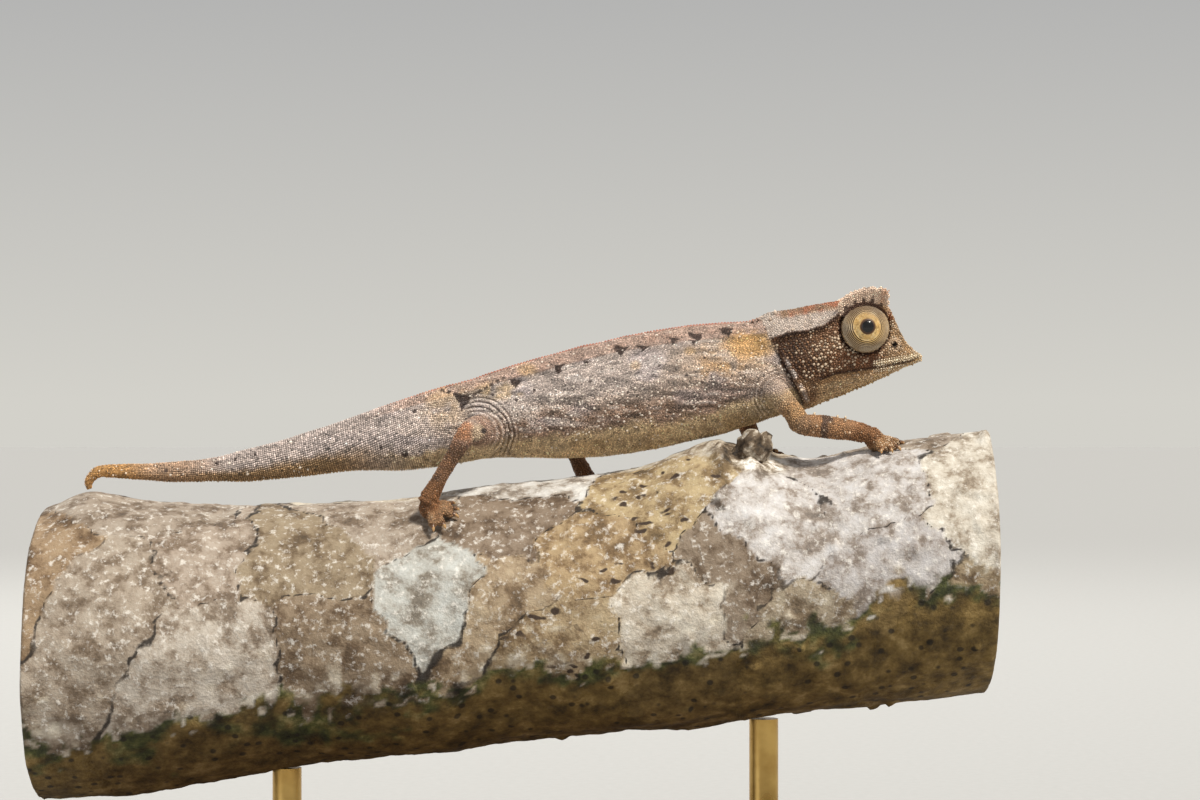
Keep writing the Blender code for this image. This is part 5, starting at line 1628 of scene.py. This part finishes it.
def chart(place):
    """Where a scale's root lies on the hide laid flat: body in one sheet, limbs in strips below it."""
    x, y, z = place.T
    _, level = body_depth(place)
    turn = (np.arctan2(y, level * 4) / (2 * math.pi)) % 1
    u, v = 0.01 + 0.98 * (x + 42) / 82, 0.30 + 0.68 * turn
    for strip, (name, (near, part)) in enumerate(limb_place(place).items()):
        path = limb_paths[name]
        nearest = path[(part * (len(path) - 1)).astype(int)]
        round_it = (np.arctan2(z - nearest[:, 2], y - nearest[:, 1]) / (2 * math.pi)) % 1
        palm = np.linalg.norm(place - palms[name], axis=1)
        on = (near < 0.4) | (palm < 3.0)
        u = np.where(on, 0.01 + 0.80 * part + 0.05 * np.minimum(palm, 3.5) * (part > 0.95), u)
        v = np.where(on, 0.12 + 0.04 * strip + 0.036 * round_it, v)
    brow = (z > 56.2) & (x > 30.5) & (np.abs(y) > 2.6)
    u = np.where(brow, 0.30 + 0.03 * (x - 30.5) + 0.25 * (y > 0), u)
    v = np.where(brow, 0.02 + 0.04 * (z - 56.2), v)
    return np.clip(u, 0.004, 0.996), np.clip(v, 0.004, 0.996)


# Horny scale: satin, each painted a little lighter on its crown as highlight and darker at its foot as
# shade, with a soft gleam in low light
scale_horn, tree = new_material("horny scales", Roughness=0.52, Specular_IOR_Level=0.45)
place_node = add(tree, "TexCoord", out="Object")
tone_node = add(tree, "Attribute", attribute_name="tone")
dust = add(tree, "TexNoise", Vector=place_node, Scale=12000.0, Detail=2.0)
dust_tone = add(tree, "ValToRGB", dust, stops=[(0.35, "#CFC4B8"), (0.60, "#FFFFFF")])
add(tree, "Mix", 0.5, tone_node, dust_tone, blend_type="MULTIPLY", feeds="Base Color")

u, v = chart(place)
cells = np.column_stack([u, v]) // MAP_CELL
last_cell = int(1 / MAP_CELL) - 1
ringed = np.concatenate(in_ring)
number = 0
for kind, sides, pieces in ((True, 5, 5), (False, 6, 3)):
    spots, form_faces, shades, loop_map = dome_of(sides)
    for part in range(pieces):
        mine = np.flatnonzero(ringed == kind)[part::pieces]
        count, number = len(mine), number + 1
        local = spots[None] * np.column_stack([half[mine], high[mine]])[:, None, :]
        frame_of = np.stack([rear[mine], across[mine], normal[mine]], axis=1)
        corners = place[mine][:, None, :] + np.einsum("nkc,ncd->nkd", local, frame_of)
        step = len(spots)
        faces = [
            tuple(base + i for i in face)
            for base in range(0, step * count, step)
            for face in form_faces
        ]
        coat_mesh = bpy.data.meshes.new(f"scales_{number}")
        coat_mesh.from_pydata((corners.reshape(-1, 3) * MM).tolist(), [], faces)
        # each scale's colour is painted darker at its foot and lighter on its crown, as shade and highlight
        put_tone(coat_mesh, np.clip((tone[mine][:, None, :] * shades[None, :, None]).reshape(-1, 3), 0, 1))
        # the map gives each scale the free cell nearest to its root's place
        used, centres = set(), []
        for i, j in cells[mine].astype(int).tolist():
            reach, cell_at = 0, (min(max(i, 1), last_cell), min(max(j, 1), last_cell))
            while cell_at in used:
                reach += 1
                near = [(i + a, j + b) for a in range(-reach, reach + 1) for b in range(-reach, reach + 1)]
                near = [c for c in near if c not in used and 1 <= min(c) and max(c) <= last_cell]
                cell_at = near[0] if near else cell_at
            used.add(cell_at)
            centres.append(cell_at)
        laid = (np.array(centres) + 0.5)[:, None, :] * MAP_CELL + loop_map[None]
        coat_mesh.uv_layers.new(name="OFBake").data.foreach_set("uv", laid.astype(np.float32).ravel())
        coat = piece_from(coat_mesh, f"scales_{number}", scale_horn)

# ------------------------------------------------------------------------------ floor, light and camera
# A plain pale floor, one soft key light high on the right in front, a wide weak fill on the left,
# a lamp behind and a pale room all round. The camera looks level from the animal's right side.

paper, tree = new_material("matt studio floor", Roughness=0.85)
place = add(tree, "TexCoord", out="Object")
fleece = add(tree, "TexNoise", Vector=place, Scale=900.0, Detail=3.0)
add(tree, "ValToRGB", fleece, stops=[(0.3, "#A9A9A8"), (0.7, "#ADADAC")], feeds="Base Color")
mesh = bpy.data.meshes.new("floor")
mesh.from_pydata([(-3, -3, 0), (3, -3, 0), (3, 3, 0), (-3, 3, 0)], [], [(0, 1, 2, 3)])
floor = bpy.data.objects.new("floor", mesh)
bpy.context.scene.collection.objects.link(floor)
mesh.materials.append(paper)

# the room is as bright as the floor where they meet, and softer overhead
world = bpy.data.worlds.new("pale room")
bpy.context.scene.world = world
world.use_nodes = True
room = world.node_tree
place = add(room, "TexCoord", out="Generated")
height = add(room, "SeparateXYZ", Vector=place, out="Z")
sky = add(room, "ValToRGB", height, stops=[(0.0, "#D3D1CA"), (0.12, "#B4B4B3"), (0.7, "#ABACAE")])
room.links.new(sky, room.nodes["Background"].inputs["Color"])
room.nodes["Background"].inputs["Strength"].default_value = 1.0


def area_light(name, place, aim, size, power, code):
    lamp = bpy.data.lights.new(name, "AREA")
    lamp.shape, lamp.size, lamp.energy, lamp.color = "DISK", size, power, linear(code)
    made = bpy.data.objects.new(name, lamp)
    bpy.context.scene.collection.objects.link(made)
    made.location = place
    made.rotation_euler = (Vector(aim) - Vector(place)).to_track_quat("-Z", "Y").to_euler()


key_light = bpy.data.lights.new("key", "SUN")
key_light.energy, key_light.angle, key_light.color = 4.4, math.radians(9.0), linear("#FFFAF0")
key = bpy.data.objects.new("key", key_light)
bpy.context.scene.collection.objects.link(key)
key.rotation_euler = Vector((0.25, -0.28, 0.52)).to_track_quat("Z", "Y").to_euler()
area_light("fill", (-0.45, -0.35, 0.20), (0.0, 0.0, 0.045), 0.40, 0.30, "#EAF1FF")
area_light("back", (-0.10, 0.45, 0.40), (0.0, 0.0, 0.045), 0.30, 1.0, "#FFFDF6")
bpy.context.scene.view_settings.view_transform = "Standard"

lens = bpy.data.cameras.new("camera")
lens.lens, lens.sensor_width = 100, 36
lens.clip_start, lens.clip_end = 0.02, 20
camera = bpy.data.objects.new("camera", lens)
bpy.context.scene.collection.objects.link(camera)
camera.location = (8.2 * MM, -321.7 * MM, 47.3 * MM)
camera.rotation_euler = (math.pi / 2, 0, 0)
bpy.context.scene.camera = camera
